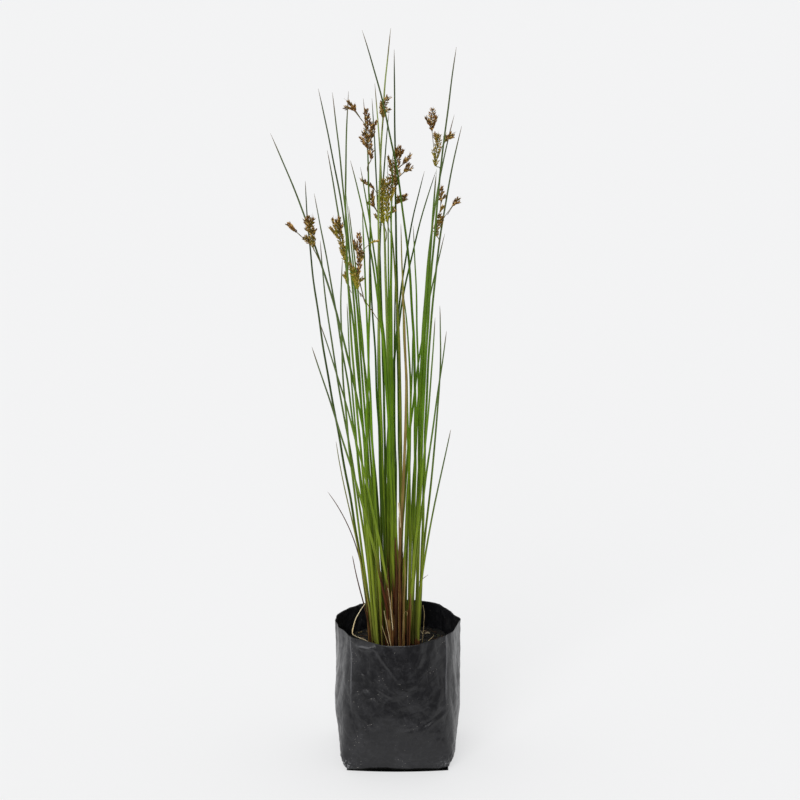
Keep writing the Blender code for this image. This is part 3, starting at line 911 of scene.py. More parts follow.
def lumps(places, sizes, flat, dice, sides=7):
    # irregular crumbs: squashed balls whose radius changes with direction, each turned its own way
    count = len(places)
    tilt = np.radians([40, 78, 114, 148])
    turn = evenTurns(sides)
    ball = np.stack([
        np.sin(tilt)[:, None] * np.cos(turn), np.sin(tilt)[:, None] * np.sin(turn),
        np.repeat(-np.cos(tilt)[:, None], sides, 1),
    ], -1)
    rough = dice.uniform(0.72, 1.25, (count, len(tilt), sides, 1))
    spin = dice.uniform(0, fullTurn, count)[:, None, None]
    lean = dice.uniform(-0.5, 0.5, (2, count))[:, :, None, None]
    x, y, z = (ball[None] * rough * sizes[:, None, None, None]).transpose(3, 0, 1, 2)
    x, z = x * (1 + 0.7 * (flat[:, None, None] < 0.6)), z * flat[:, None, None]
    x, y = x * np.cos(spin) - y * np.sin(spin), x * np.sin(spin) + y * np.cos(spin)
    z = z + lean[0] * x * 0.5 + lean[1] * y * 0.5
    return np.stack([x, y, z], -1) + places[:, None, None]


def scatter(dice, count, low=0.0, high=0.93):
    # places on the soil's top, even over its area
    turn = dice.uniform(0, fullTurn, count)
    reach = np.sqrt(dice.uniform(low, high**2, count)) * soilEdge(turn)
    x, y = reach * np.cos(turn), reach * np.sin(turn)
    return np.stack([x, y, soilHeight(x, y)], -1)


def makeCrumbs():
    # many small crumbs, whose sizes run as an even share to the power 2.2, and a few flat chips
    dice = np.random.default_rng(soil["seed"])
    places = scatter(dice, soil["crumbs"])
    small, large = soil["crumbSize"]
    sizes = small + (large - small) * dice.uniform(0, 1, soil["crumbs"]) ** 2.2
    tones = dice.uniform(0, 0.86, soil["crumbs"])[:, None, None]
    crumbs = skin(lumps(places, sizes, dice.uniform(0.6, 1.0, soil["crumbs"]), dice), tone=tones)
    places = scatter(dice, soil["chips"]) + (0, 0, 0.5)
    sizes = dice.uniform(*soil["chipSize"], soil["chips"])
    chips = skin(
        lumps(places, sizes, dice.uniform(0.18, 0.35, soil["chips"]), dice),
        tone=dice.uniform(0.75, 1.0, soil["chips"])[:, None, None],
    )
    makePiece("soilCrumbs", [crumbs, chips], soilMaterial, "soil")


def makeFibres():
    # short bent threads: a straight run with a bow, lying on the soil
    dice = np.random.default_rng(soil["seed"] + 1)
    count = soil["fibres"]
    middle = scatter(dice, count, high=0.88) + (0, 0, 0.7)
    heading = dice.uniform(0, fullTurn, count)
    reach = dice.uniform(*soil["fibreHalf"], count)
    rise = dice.uniform(-0.16, 0.22, count)
    way = np.stack([np.cos(heading), np.sin(heading), rise], -1)
    beside = np.stack([-np.sin(heading), np.cos(heading), 0 * heading], -1)
    t = np.linspace(-1, 1, 7)[None, :, None]
    bow = (dice.uniform(-1, 1, (count, 1)) * reach[:, None] * 0.3)[:, None]
    path = middle[:, None] + t * (reach[:, None] * way)[:, None] + bow * (1 - t * t) * beside[:, None]
    away = np.maximum(np.hypot(path[..., 0], path[..., 1]), 1)
    path[..., :2] *= np.minimum(1, soil["fibreReach"] / away)[..., None]
    radius = dice.uniform(*soil["fibreRadius"], (count, 1)) * (1 - 0.5 * np.abs(np.linspace(-1, 1, 7)))
    tones = dice.uniform(0.0, 0.45, count)[:, None, None]
    threads = tube(path, radius, 5, tone=tones, lift=-0.004)
    makePiece("soilFibres", [threads], dryMaterial, "dry_stem")


makeSoil()
makeCrumbs()
makeFibres()
print("soil made")


# The stems: round rods along the CAD rods' own lines

stems = {
    "rings": 70,
    "sides": 10,
    "evenTaper": 0.46,
    "lateTaper": 0.16,                 # comes on towards the tip, as the eighth power
    "endTaper": 0.32,                  # comes on in the last tenth, as the fiftieth power
    "tipRadius": 0.09,
    "wobble": 0.22,
    "seed": 70,
    # stems in the middle of the clump are fuller: by this share, within this half width of x, and
    # below these heights
    "fuller": (0.12, (36.0, 14.0), (570.0, 450.0)),
    # pale and dying tops start at the first of these heights and are fully so above the second
    "topHeights": (360.0, 480.0),
    # stems out in the open: from this distance to that, in x from the clump's green core
    "openX": (24.0, 58.0),
    "core": -6.0,
    # stems with their foot inside this stretch of x and in front of this y are brown low down
    "brownedX": (-10.5, 9.5),
    "brownedY": 2.0,
    # what isn't left to chance on single stems: the tone (0 darkened by painted shade, 1 light and
    # yellowish), how much fuller they are in the clump, and how far they or their tops are dying or pale
    "single": {
        "stem_centre_2": {"paleTop": 0.9},
        "stem_centre_4": {"tone": 0.80, "fuller": 0.4, "paleTop": 1.0},
        "stem_centre_5": {"paleTop": 0.4},
        "stem_centre_7": {"tone": 0.85},
        "stem_inner_1": {"tone": 0.70},
        "stem_inner_2": {"tone": 0.00},
        "stem_inner_3": {"fuller": 0.4},
        "stem_inner_6": {"tone": 0.75},
        "stem_inner_7": {"tone": 0.62, "fuller": 0.4, "dyingTop": 1.0},
        "stem_inner_left_1": {"tone": 0.75},
        "stem_inner_left_4": {"tone": 0.60},
        "stem_inner_left_6": {"tone": 0.62},
        "stem_inner_left_8": {"tone": 0.50},
        "stem_left_5": {"tone": 0.60},
        "stem_right_1": {"tone": 0.40},
        "stem_right_3": {"tone": 0.65},
        "stem_right_4": {"tone": 0.04},
        "stem_right_6": {"tone": 0.70},
        "stem_right_7": {"fuller": 0.3, "dying": 0.6},
    },
}


def axisOf(node):
    # the CAD rod's line: x is a cubic and y a square function of the height
    middles, radii = nodeRings(node)
    xLine = np.polyfit(middles[:, 2], middles[:, 0], 3)
    yLine = np.polyfit(middles[:, 2], middles[:, 1], 2)
    return xLine, yLine, middles[0, 2], middles[-1, 2], radii[0]


def pointOn(axis, height):
    # the rod's x and y at a height, and the height
    return np.stack([np.polyval(axis[0], height), np.polyval(axis[1], height), height], -1)


def stemRadius(axis, share):
    # the foot's radius less three tapers, down to the tip's
    thin = 1 - stems["evenTaper"] * share - stems["lateTaper"] * share**8 - stems["endTaper"] * share**50
    return np.maximum(axis[4] * thin, stems["tipRadius"])


def stemSkin(
    axis, seed, browned, tone=0.5, sides=stems["sides"], wider=1.0,
    fuller=0.0, dying=0.0, dyingTop=0.0, paleTop=0.0,
):
    # a tube on the rod's line, with a slight sway and change of thickness, both sums of waves
    foot, tip = axis[2], axis[3]
    share = np.linspace(0, 1, stems["rings"])
    share = share + 0.22 * share * (1 - share)  # closer rings towards the tip
    height = foot + (tip - foot) * share
    path = pointOn(axis, height)
    sway = stems["wobble"] * smoothStep(share, 0.08, 0.3) * smoothStep(share, 1.0, 0.9)
    path[:, 0] += sway * waves(height[:, None], 85, seed, 5)
    path[:, 1] += sway * waves(height[:, None], 85, seed + 500, 5)
    radius = wider * stemRadius(axis, share) * (1 + 0.03 * waves(height[:, None], 40, seed + 900, 4))
    most, reach, heights = stems["fuller"]
    core = smoothStep(np.abs(path[:, 0]), *reach) * smoothStep(height, *heights)
    radius = radius * (1 + np.maximum(most, fuller) * core * smoothStep(share, 1.0, 0.75))
    apart = smoothStep(np.abs(path[:, 0] - stems["core"]), *stems["openX"])
    bleached = np.maximum(apart * smoothStep(height, 150, 280), 0.4 * smoothStep(height, 470, 660))
    top = smoothStep(height, *stems["topHeights"])
    return tube(
        path, radius, sides, lift=liftOf(height), share=share, tone=tone, browned=browned,
        dying=dying + dyingTop * top, pale=paleTop * top, bleached=bleached,
    )


def brownReach(foot, dice):
    # how high up, in metres, a stem's foot is brown
    low, high = stems["brownedX"]
    middle = smoothStep(foot[0], low - 3, low + 3) * smoothStep(foot[0], high + 3, high - 3)
    near = smoothStep(foot[1], stems["brownedY"] + 14, stems["brownedY"] - 6)
    return 0.003 + 0.010 * dice.random() + middle * near * (0.068 + 0.050 * dice.random())


def contrasted(share):
    # drives an even share from 0 to 1 towards its two ends
    away = 2 * share - 1
    return 0.5 + 0.5 * np.sign(away) * abs(away) ** 0.6


axes = {}
greenNodes = sorted(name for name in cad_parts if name.startswith("stem_"))


def makeStems():
    # each takes its tone by chance, then what is set for it alone
    dice = np.random.default_rng(stems["seed"])
    for order, node in enumerate(greenNodes):
        axes[node] = axisOf(node)
        foot = pointOn(axes[node], np.array(soil["top"]))
        kind = {"tone": contrasted(dice.random()), **stems["single"].get(node, {})}
        rod = stemSkin(axes[node], stems["seed"] + order, brownReach(foot, dice), **kind)
        makePiece("rush_" + node, [rod], rushMaterial, "stem", node)


# Short young shoots that stand inside the clump, between the long stems
shoots = {
    "count": 7,
    "foot": 105.0,                     # height
    "footX": (-14.0, 14.0),
    "footY": (-6.0, 24.0),
    "tips": (205.0, 330.0),            # heights
    "radius": (1.0, 1.3),
    "lean": 0.50,                      # how much further out they stand, per 190 mm of height
    "seed": 610,
    # three tall ones, each through these points, and how thick they are at the foot
    "tall": (
        ((-8, -2, 105), (-9, -1, 200), (-9.4, 0, 290), (-7.4, 1, 400), (-8.4, 2, 470), (-9.2, 2, 600)),
        ((17, 4, 105), (20, 6, 200), (22.5, 7, 290), (25, 9, 400), (29, 10, 470), (37, 12, 590)),
        ((-18, 6, 105), (-23, 10, 200), (-28, 14, 290), (-35.3, 18, 400), (-40.2, 21, 470), (-49, 24, 566)),
    ),
    "tallRadius": 1.25,
    "tallTone": 0.70,
}


def shootSkin(path, thick, tone, browned):
    # a rod along a path, which thins evenly at first and then to a point, as the ninth power
    v = np.linspace(0, 1, len(path))
    radius = thick * (1 - 0.25 * v - 0.68 * v**9)
    return tube(
        path, radius, 9, lift=liftOf(path[:, 2]), share=0.8 * v, tone=tone, browned=browned,
        dying=0.0, pale=0.0, bleached=0.0,
    )


def makeShoots():
    # the lines of the short ones run outwards with height and bend as the square of it
    dice = np.random.default_rng(shoots["seed"])
    rods = []
    for _ in range(shoots["count"]):
        x, y = dice.uniform(*shoots["footX"]), dice.uniform(*shoots["footY"])
        v = np.linspace(0, 1, 30)
        height = shoots["foot"] + (dice.uniform(*shoots["tips"]) - shoots["foot"]) * v
        outwards = 1 + shoots["lean"] * (height - soil["top"]) / 190
        path = np.stack([x * outwards + dice.uniform(-3, 3) * v**2, y * outwards, height], -1)
        thick = dice.uniform(*shoots["radius"])
        rods.append(shootSkin(path, thick, dice.uniform(0.0, 0.75), brownReach((x, y), dice)))
    for points in shoots["tall"]:
        path = curveThrough(points, 61)
        browned = brownReach(points[0], dice)
        rods.append(shootSkin(path, shoots["tallRadius"], shoots["tallTone"], browned))
    makePiece("innerShoots", rods, rushMaterial, "stem")


makeStems()
makeShoots()
print("stems made:", len(greenNodes))


# Sheaths: papery brown sleeves round the stems' feet, with a slanted pointed mouth

sheaths = {
    "sides": 10,
    "rings": 12,
    "thickness": 0.34,
    "innerShare": 0.45,                # each stem has a second, shorter and thicker one lower down
    "innerThickness": 0.6,
    "innerTones": (0.0, 0.14),
    "middleHeight": (34.0, 92.0),
    "outerHeight": (5.0, 16.0),
    "outerTones": (0.0, 0.16),
    # in the middle, a share drawn evenly and the tone that it gives: half dark, then brown, then tan
    "tones": ((0.0, 0.00), (0.56, 0.14), (0.57, 0.20), (0.90, 0.36), (0.91, 0.46), (1.0, 0.62)),
    "slant": 0.20,
    "seed": 90,
}


def sheathSkin(axis, tall, thick, roll, tone):
    # a sleeve whose height changes with the angle as a cosine and whose wall thins upwards
    v = np.linspace(0, 1, sheaths["rings"])
    turn = evenTurns(sheaths["sides"])
    mouth = 1 - sheaths["slant"] * (1 - np.cos(turn - roll)) / 2 * v[:, None] ** 2
    height = soil["top"] - 4 + (tall + 4) * v[:, None] * mouth
    share = (height - axis[2]) / (axis[3] - axis[2])
    middle = pointOn(axis, height)
    radius = stemRadius(axis, share) + thick * (1 - 0.75 * v[:, None] ** 3)
    way = np.stack([np.cos(turn), np.sin(turn), 0 * turn], -1)
    rings = (middle + radius[..., None] * way)[None]
    return skin(rings, along=(v * tall)[None], lift=liftOf(height)[None], tone=tone + 0.25 * (v - 0.5))


def makeSheaths():
    # two round each stem, tall ones in the brown middle of the clump and short ones round it
    dice = np.random.default_rng(sheaths["seed"])
    sleeves = []
    for node in greenNodes:
        axis = axes[node]
        foot = pointOn(axis, np.array(soil["top"]))
        inside = brownReach(foot, dice) > 0.05
        low, high = sheaths["middleHeight" if inside else "outerHeight"]
        tall = dice.uniform(low, high)
        if inside:
            tone = np.interp(dice.random(), *np.transpose(sheaths["tones"]))
        else:
            tone = dice.uniform(*sheaths["outerTones"])
        sleeves.append(sheathSkin(axis, tall, sheaths["thickness"], dice.uniform(0, fullTurn), tone))
        tone = dice.uniform(*sheaths["innerTones"])
        tall, thick = tall * sheaths["innerShare"], sheaths["innerThickness"]
        sleeves.append(sheathSkin(axis, tall, thick, dice.uniform(0, fullTurn), tone))
    makePiece("stemSheaths", sleeves, dryMaterial, "dry_stem")


makeSheaths()
print("sheaths made")


# Dry rods, the dead leaf, old stubs and straws

dryRods = {
    # tones at the foot, in the middle and at the tip: 0 dark brown, 0.5 tan, 1 pale straw
    "dead_stem": {"tones": (0.16, 0.47, 0.52), "wider": 1.3},
    "dry_shoot_1": {"tones": (0.38, 0.14, 0.20)},
    "dry_shoot_2": {"tone": 0.45, "dying": 0.7},  # half dead, so in the rush's own material
    "dry_shoot_3": {"tones": (0.10, 0.12, 0.22)},
}
deadLeaf = {
    "rings": 60,
    "radius": 0.60,
    "flatness": 0.45,
    "roll": 0.6,                       # radians about its length
    "tone": (0.90, 0.06),              # the mean, and how far it goes up and down along the blade
}
straws = {
    "rings": 22,
    "sides": 7,
    "flatness": 0.6,
    "taper": 0.45,
    "sway": 0.12,
    "seed": 300,
    # radius, tone, then the points from the foot up
    "lines": (
        # in front
        (0.50, 0.82, ((-5.0, -25.5, 112), (-8.3, -26.6, 133), (-13.3, -27.4, 160.5))),
        (0.42, 0.74, ((-5.2, -28.0, 113), (-9.0, -28.4, 124.5), (-15.2, -28.8, 145.5))),
        (0.55, 0.88, ((-4.6, -26.8, 140), (-7.4, -27.4, 169), (-9.4, -27.8, 184.5))),
        # at the right and the left
        (0.42, 0.80, ((24.6, 8, 112), (25.8, 8, 127), (26.6, 8, 142), (25.4, 8, 152.5))),
        (0.35, 0.95, ((19.5, 6, 128), (22.4, 7, 126.5), (25.2, 8, 121.5))),
        (0.40, 0.70, ((-28.4, 21, 111), (-28.9, 22, 120), (-29.2, 22, 129))),
        (0.42, 0.18, ((20.0, 1.5, 178), (25.0, 1.5, 183), (30.0, 1.5, 187))),
        # a hooked one
        (0.32, 0.62, (
            (5.0, -25.5, 128), (5.6, -26.5, 145), (6.4, -27.4, 156.5), (7.8, -27.8, 160),
            (9.6, -27.8, 158.6), (9.4, -27.8, 155.4))),
        # on the soil
        (0.40, 0.92, ((-34, -18, 113.4), (-28, -14, 115.2), (-21, -12, 113.2))),
        (0.34, 0.76, ((26, -4, 113), (33, 2, 114.6), (41, 5, 112.4))),
        (0.36, 0.85, ((31, 12, 112.6), (36, 20, 114.2), (36, 30, 112.4))),
        (0.30, 0.70, ((-46, 4, 112.2), (-40, 12, 114.0), (-33, 14, 112.8))),
        (1.25, 0.97, ((28.0, 31, 112.8), (30.4, 31, 113.8), (32.6, 30, 113.2))),
        (0.7, 0.84, ((25.6, 37, 112.8), (27.4, 38, 113.4))),
        (0.8, 0.96, ((21.6, 12, 113.6), (23.8, 12, 114.2))),
        # threads up the front of the clump
        (0.22, 0.42, ((-6.0, -27.6, 112), (-7.4, -28.6, 150), (-8.6, -29.0, 182), (-9.6, -29, 206))),
        (0.26, 0.44, ((1.6, -28.4, 112), (1.0, -29.2, 158), (1.4, -29.6, 205), (0.8, -29.6, 258))),
        (0.22, 0.36, ((4.6, -27.4, 112), (5.2, -28.8, 150), (5.0, -29.2, 196), (5.6, -29.2, 232))),
        (0.22, 0.36, ((-15.0, -23.4, 112), (-17.0, -25.8, 150), (-19.0, -27.2, 186))),
        # a pale split, a bit at the left and the twig under the third cluster
        (0.85, 0.86, ((1.4, -27.5, 272), (2.2, -28, 260), (3.0, -28.6, 247))),
        (0.6, 0.60, ((-40.0, 34, 112.6), (-36.4, 35, 113.2))),
        (0.50, 0.34, (
            (-34.2, -50, 484), (-28.0, -44, 472.5), (-21.5, -38, 461), (-16.6, -31.6, 452))),
    ),
}
stubs = {
    "rings": 26,
    "sides": 9,
    "foot": 104.0,                     # height
    "sway": 0.35,
    "ragged": 1.6,                     # how far the broken end's edge rises and falls
    "seed": 320,
    # foot x and y, top x, y and height, radius, tone: dead stems that broke off low
    "places": (
        (-8.0, -24.6, -10.5, -26.4, 196, 1.15, 0.14),
        (-1.2, -25.6, -1.4, -27.6, 236, 1.20, 0.08),
        (2.6, -25.0, 2.2, -27.8, 262, 1.25, 0.26),
        (6.0, -23.4, 7.2, -26.0, 214, 1.05, 0.38),
        (-13.0, -20.4, -16.0, -23.0, 168, 1.0, 0.04),
        (11.6, -20.8, 13.0, -23.6, 176, 0.95, 0.24),
        (-4.6, -25.0, -5.6, -26.8, 180, 1.1, 0.30),
        (9.0, -22.0, 10.2, -24.6, 160, 0.9, 0.10),
        (-12.0, 26.0, -14.0, 30.0, 190, 1.0, 0.20),
    ),
}


def makeDryRods():
    # stems in straw, whose tone runs through the three that are given for them
    for order, (node, kind) in enumerate(dryRods.items()):
        plain = {key: value for key, value in kind.items() if key != "tones"}
        rod = stemSkin(axisOf(node), 200 + order, 0.0, sides=8, **plain)
        values, material = rod["values"], rushMaterial
        if "tones" in kind:
            tone = np.interp(values["share"], (0, 0.5, 1), kind["tones"])
            rod["values"], material = {"lift": values["lift"], "tone": tone}, dryMaterial
        makePiece("dried_" + node, [rod], material, "dry_stem", node)


def makeDeadLeaf():
    # a narrow blade: a flattened tube along the CAD rod's points
    path = curveThrough(nodeRings("dead_leaf")[0], deadLeaf["rings"])
    v = np.linspace(0, 1, deadLeaf["rings"])
    radius = deadLeaf["radius"] * (1 - 0.5 * v**2)
    mean, change = deadLeaf["tone"]
    leaf = tube(
        path, radius, 8, deadLeaf["flatness"], deadLeaf["roll"],
        tone=mean + change * np.sin(9 * v), lift=0.05,
    )
    makePiece("dryLeafBlade", [leaf], dryMaterial, "dry_stem", "dead_leaf")


def makeStraws():
    # flattened tubes through their points, with a slight sway, that thin evenly
    bits = []
    for order, (radius, tone, points) in enumerate(straws["lines"]):
        path = curveThrough(points, straws["rings"])
        seeds = [straws["seed"] + order + k for k in (0, 40, 80)]
        path = path + straws["sway"] * np.stack([waves(path / 9, 1, seed, 4) for seed in seeds], -1)
        thin = radius * (1 - straws["taper"] * np.linspace(0, 1, straws["rings"]))
        bits.append(
            tube(path, thin, straws["sides"], straws["flatness"], tone=tone, lift=liftOf(path[:, 2]))
        )
    makePiece("looseStraws", bits, dryMaterial, "dry_stem")


def makeStubs():
    # straight tubes with a slight sway, which thin evenly and a little more at the break
    bits = []
    for order, (x0, y0, x1, y1, top, radius, tone) in enumerate(stubs["places"]):
        v = np.linspace(0, 1, stubs["rings"])
        height = stubs["foot"] + (top - stubs["foot"]) * v
        seed = stubs["seed"] + order
        x = x0 + (x1 - x0) * v + stubs["sway"] * waves(height[:, None], 60, seed, 4)
        path = np.stack([x, y0 + (y1 - y0) * v, height], -1)[None]
        thin = radius * (1 - 0.30 * v - 0.25 * v**10)[None]
        rings = tubeRings(path, thin, stubs["sides"])
        # the broken end is ragged: its last ring rises and falls with the angle
        dice = np.random.default_rng(seed + 20)
        rings[:, -1, :, 2] += dice.uniform(-stubs["ragged"], stubs["ragged"], stubs["sides"])
        tones = tone + 0.22 * (v - 0.4)
        bits.append(skin(rings, along=lengthAlong(path), tone=tones, lift=liftOf(height)))
    makePiece("brokenStems", bits, dryMaterial, "dry_stem")


makeDryRods()
makeDeadLeaf()
makeStraws()
makeStubs()
print("dry pieces made")


# The flower clusters: twigs with whorls of small pointed florets

flowers = {
    "length": (2.4, 3.5),
    "halfWidth": (0.42, 0.62),
    "sides": 9,
    "whorlStep": 1.42,
    "perWhorl": 5,
    "bractStep": 1.5,
    "bractReach": (2.2, 3.8),
    "bractRadius": 0.24,
    "twigRadius": 0.42,
    "mainTwig": 1.25,                  # how much thicker a cluster's first twig is, and how much
    "sideTwig": 0.8,                   # thinner its others are
    "twigDrop": 9.0,                   # how far down the stem the first twig starts
    "twigSteps": 12,
    "floretTurn": 2.39996,             # radians from a floret to the next: the golden angle
    "seed": 120,
}
# Each cluster: the stem that it grows from, the height where it leaves the stem, the distance
# that it stands in front of it, then its spikes. A spike is its half width, its offset in depth,
# how olive it is, and its line in x and z: a bare twig to the second point, florets after it.
clusters = {
    "flower_cluster_1": ("stem_left_4", 514, 6, (
        (3.2, 0, 0.3, ((-77, 514), (-78.7, 521.7), (-79.6, 531.4), (-81, 542.2), (-77.9, 549.4))),
        (2.0, 2, 0.1, ((-79.6, 531.4), (-81.9, 539), (-83.3, 550.3))),
        (1.6, -2, 0.1, ((-80.5, 535), (-83, 541), (-86.5, 548))),
        (1.5, -3, 0.2, ((-80, 533), (-82.8, 536.8), (-85.6, 541.2))),
        (2.4, 3, 0.2, ((-78, 518), (-80.5, 523.4), (-87.5, 531.6))),
        (1.5, 3, 0.1, ((-79, 527), (-78.7, 532.4), (-77.3, 539.2))),
        (1.6, -3, 0.0, ((-84, 527), (-94, 536.3), (-102.7, 544.3))),
        (1.1, -2, 0.0, ((-90, 532.6), (-95.4, 538), (-100.9, 545))),
    )),
    "flower_cluster_2": ("stem_inner_left_4", 500, 6, (
        (3.0, 0, 0.6, (
            (-45, 497), (-46.4, 503), (-49.5, 513.2), (-51.8, 522), (-53.7, 530.7), (-54.9, 538.5))),
        (1.5, 2, 0.2, ((-53.4, 529), (-54.2, 534), (-52, 542.1))),
        (1.5, -2, 0.2, ((-54.6, 534), (-55.4, 538.5), (-57, 546.9))),
        (1.4, 1, 0.2, ((-54.8, 537), (-54.8, 541), (-54.4, 548.9))),
        (1.1, -3, 0.4, ((-53.8, 529), (-56.3, 534), (-60.8, 548.7))),
        (1.7, 3, 0.4, ((-52, 522.5), (-55, 528.4), (-62.8, 539))),
        (1.5, 4, 0.7, ((-49, 506), (-50.2, 510), (-53.0, 518))),
        (1.6, -3, 0.8, ((-43.3, 477), (-46.2, 485), (-48.9, 497))),
        (1.3, 3, 0.8, ((-44.6, 481), (-47.5, 488), (-50.8, 493.5))),
    )),
    "flower_cluster_3": ("stem_inner_left_6", 480, 6, (
        (2.7, 0, 0.0, (
            (-34, 482), (-35.8, 502), (-34.9, 513.9), (-35.3, 524.7), (-34.8, 533.5), (-35.3, 540.9))),
        (1.5, 3, 0.2, ((-35.6, 519), (-37.6, 523.7), (-39.9, 533.5))),
        (1.5, -3, 0.2, ((-35.4, 512), (-33.4, 516), (-31.4, 523.5))),
        (2.4, 2, 0.8, ((-33.5, 481), (-36.6, 488.6), (-39.9, 501.3), (-43.1, 511))),
        (2.2, -3, 0.7, ((-33.8, 482), (-36.4, 490.5), (-37.2, 503))),
        (1.4, 2, 0.6, ((-34.4, 492), (-34.6, 495), (-31.8, 498.5))),
        (0.8, 4, 0.6, ((-34.6, 522), (-24.3, 531.0), (-18.1, 533))),
    )),
    "flower_cluster_4": ("stem_inner_left_1", 600, 6, (
        (3.3, 0, 0.0, ((-28, 598), (-23.9, 607.5), (-25.5, 618), (-27, 628), (-26.5, 638), (-28.5, 652))),
        (1.6, 3, 0.0, ((-26, 614), (-28.7, 618), (-33.8, 626.6))),
        (1.4, -3, 0.0, ((-26.4, 622), (-29, 627), (-31.5, 631.7))),
        (2.0, 4, 0.1, ((-25, 616), (-23.6, 626), (-22.1, 635))),
        (1.3, 4, 0.0, ((-23.2, 630), (-22.6, 634.4), (-18.9, 641.1))),
        (1.3, 3, 0.0, ((-23.2, 630), (-23, 634), (-24.2, 639.6))),
        (1.5, -2, 0.0, ((-27.5, 636), (-38.1, 650.9), (-44.9, 660))),
        (1.4, -2, 0.0, ((-32, 642), (-40.4, 652.1), (-47.9, 654.2))),
        (1.2, 1, 0.0, ((-34, 645), (-38.0, 651.5), (-39.2, 656))),
    )),
    "flower_cluster_5": ("stem_centre_2", 636, 5, (
        (3.2, 0, 0.2, ((-13, 636), (-12.9, 641.7), (-14, 649.2), (-11.5, 655.8), (-8.1, 660.8))),
        (1.6, -3, 0.3, ((-13, 640), (-12.3, 645.9), (-7.3, 649.9))),
        (1.3, 2, 0.1, ((-13.6, 646), (-14.6, 650), (-14.6, 656.5))),
    )),
    "flower_cluster_6": ("stem_centre_3", 573, 6, (
        (4.4, 0, 0.2, ((-1, 570), (-1.4, 577), (-0.9, 589.1), (-0.5, 598.5), (0.9, 606))),
        (1.5, 2, 0.0, ((-0.5, 596), (-0.5, 601), (-0.7, 609.8))),
        (1.6, -2, 0.0, ((0.4, 598), (1.4, 603), (2.1, 612.1))),
        (1.6, 2, 0.0, ((0.8, 597), (2.3, 601), (4.7, 607.9))),
        (1.7, -3, 0.0, ((0.5, 591), (5.2, 596.3), (8.2, 601.1))),
        (1.7, -3, 0.0, ((0.5, 592), (7.6, 597.0), (12.3, 604.5))),
        (1.7, 4, 0.1, ((0.5, 582), (6.4, 587.6), (11.1, 595.1))),
        (1.7, 4, 0.1, ((2.0, 583.4), (7.4, 587.6), (14.1, 591))),
        (1.4, 4, 0.2, ((-1, 588), (-5.1, 593.4), (-8.9, 601.3))),
        (1.4, 3, 0.3, ((-1, 582), (-5.8, 587.3), (-6.8, 594.8))),
        (3.2, -3, 0.2, ((-1, 572), (-1.4, 575.5), (-0.5, 584))),
    )),
    "flower_cluster_7": ("stem_centre_4", 528, 6, (
        (3.2, 0, 1.0, ((-8, 531), (-13.4, 541.6), (-15.3, 553.8), (-15.3, 564.1))),
        (3.2, 0, 0.7, ((-15.3, 556), (-15.3, 562), (-13.9, 573.5), (-14.4, 581.9))),
        (3.0, -4, 1.0, ((-7, 532), (-9.8, 543.5), (-9.7, 554.7), (-10.2, 564.1))),
        (3.0, -4, 0.7, ((-9.7, 556), (-10.2, 562), (-10.8, 571.6), (-10.2, 579.1))),
        (3.6, -3, 0.2, ((-8.6, 556), (-7.9, 566), (-6, 576.3), (-4.2, 582.9), (-6, 587.5))),
        (3.0, 3, 0.6, ((-12, 568), (-9.5, 576), (-8.5, 584))),
        (1.3, -5, 0.6, ((-8.6, 556), (-6.4, 563.2), (-3.1, 574.9))),
        (1.5, 4, 0.1, ((-8.8, 549), (-0.5, 558.7), (8.7, 567.5))),
        (1.5, 5, 0.1, ((-4, 554.6), (0.4, 559.2), (8.1, 563.2))),
        (1.5, 4, 0.2, ((-4, 554.6), (-0.5, 559), (1.0, 565.8))),
        (1.2, 3, 0.4, ((-8.6, 543), (-6.4, 550.4), (-3.7, 555.6))),
        (1.1, 3, 0.4, ((-8.4, 544.6), (-5.8, 549.6), (-2.4, 552.6))),
        (1.8, 2, 0.0, ((-15.3, 560), (-22, 573.1), (-33.8, 581.9))),
        (1.7, 3, 0.1, ((-14, 541), (-22, 556.6), (-25.5, 567.9))),
        (1.5, 4, 0.1, ((-17, 548), (-22.6, 555.8), (-28.2, 559.5))),
        (1.3, 1, 0.1, ((-19, 552), (-22.4, 560), (-23.2, 571.1))),
        (1.1, -2, 0.5, ((-14.4, 539), (-18.0, 544.0), (-20.9, 549.2))),
    )),
    "flower_cluster_8": ("stem_right_2", 590, 6, (
        (3.4, 0, 0.5, ((37.6, 585), (36.5, 590), (36.4, 600), (38.3, 610.2), (38.9, 619.6))),
        (1.5, 2, 0.2, ((37.6, 608), (37.0, 613), (35, 620.5))),
        (2.9, -1, 0.0, ((36.4, 592), (32.6, 624.0), (32.6, 633.6), (33.3, 644))),
        (1.4, 1, 0.0, ((32.9, 622), (31.4, 627.5), (26.9, 635.7))),
        (1.4, -2, 0.0, ((32.7, 622), (34.2, 628), (36.9, 636.5))),
        (2.0, 4, 0.2, ((38.5, 597), (44.6, 612.4), (52.4, 620.5))),
        (1.5, 3, 0.1, ((43, 609), (47.6, 614.6), (53.7, 617.6))),
        (1.4, 4, 0.2, ((42, 607.4), (44.4, 612), (45.6, 618.4))),
    )),
    "flower_cluster_9": ("stem_right_3", 526, 6, (
        (3.0, 0, 0.4, ((38.4, 523), (37.3, 529), (36.2, 534.5), (38.3, 542.8), (40.1, 549.8))),
        (1.7, 3, 0.3, ((38, 534), (40.4, 538), (41.9, 546))),
        (2.2, -2, 0.1, ((39.6, 546), (40.6, 562), (40.3, 566.8), (41.8, 575.7))),
        (1.2, 2, 0.2, ((40.4, 558), (42.5, 563.8), (45.2, 567.1))),
        (1.4, -3, 0.3, ((39.8, 548), (40.1, 552.6), (42.9, 558.2))),
        (1.7, 4, 0.0, ((39.5, 540), (51.6, 556.8), (57.4, 563.8))),
        (1.2, 4, 0.0, ((47, 549), (52.8, 557.6), (58.0, 560.6))),
    )),
}


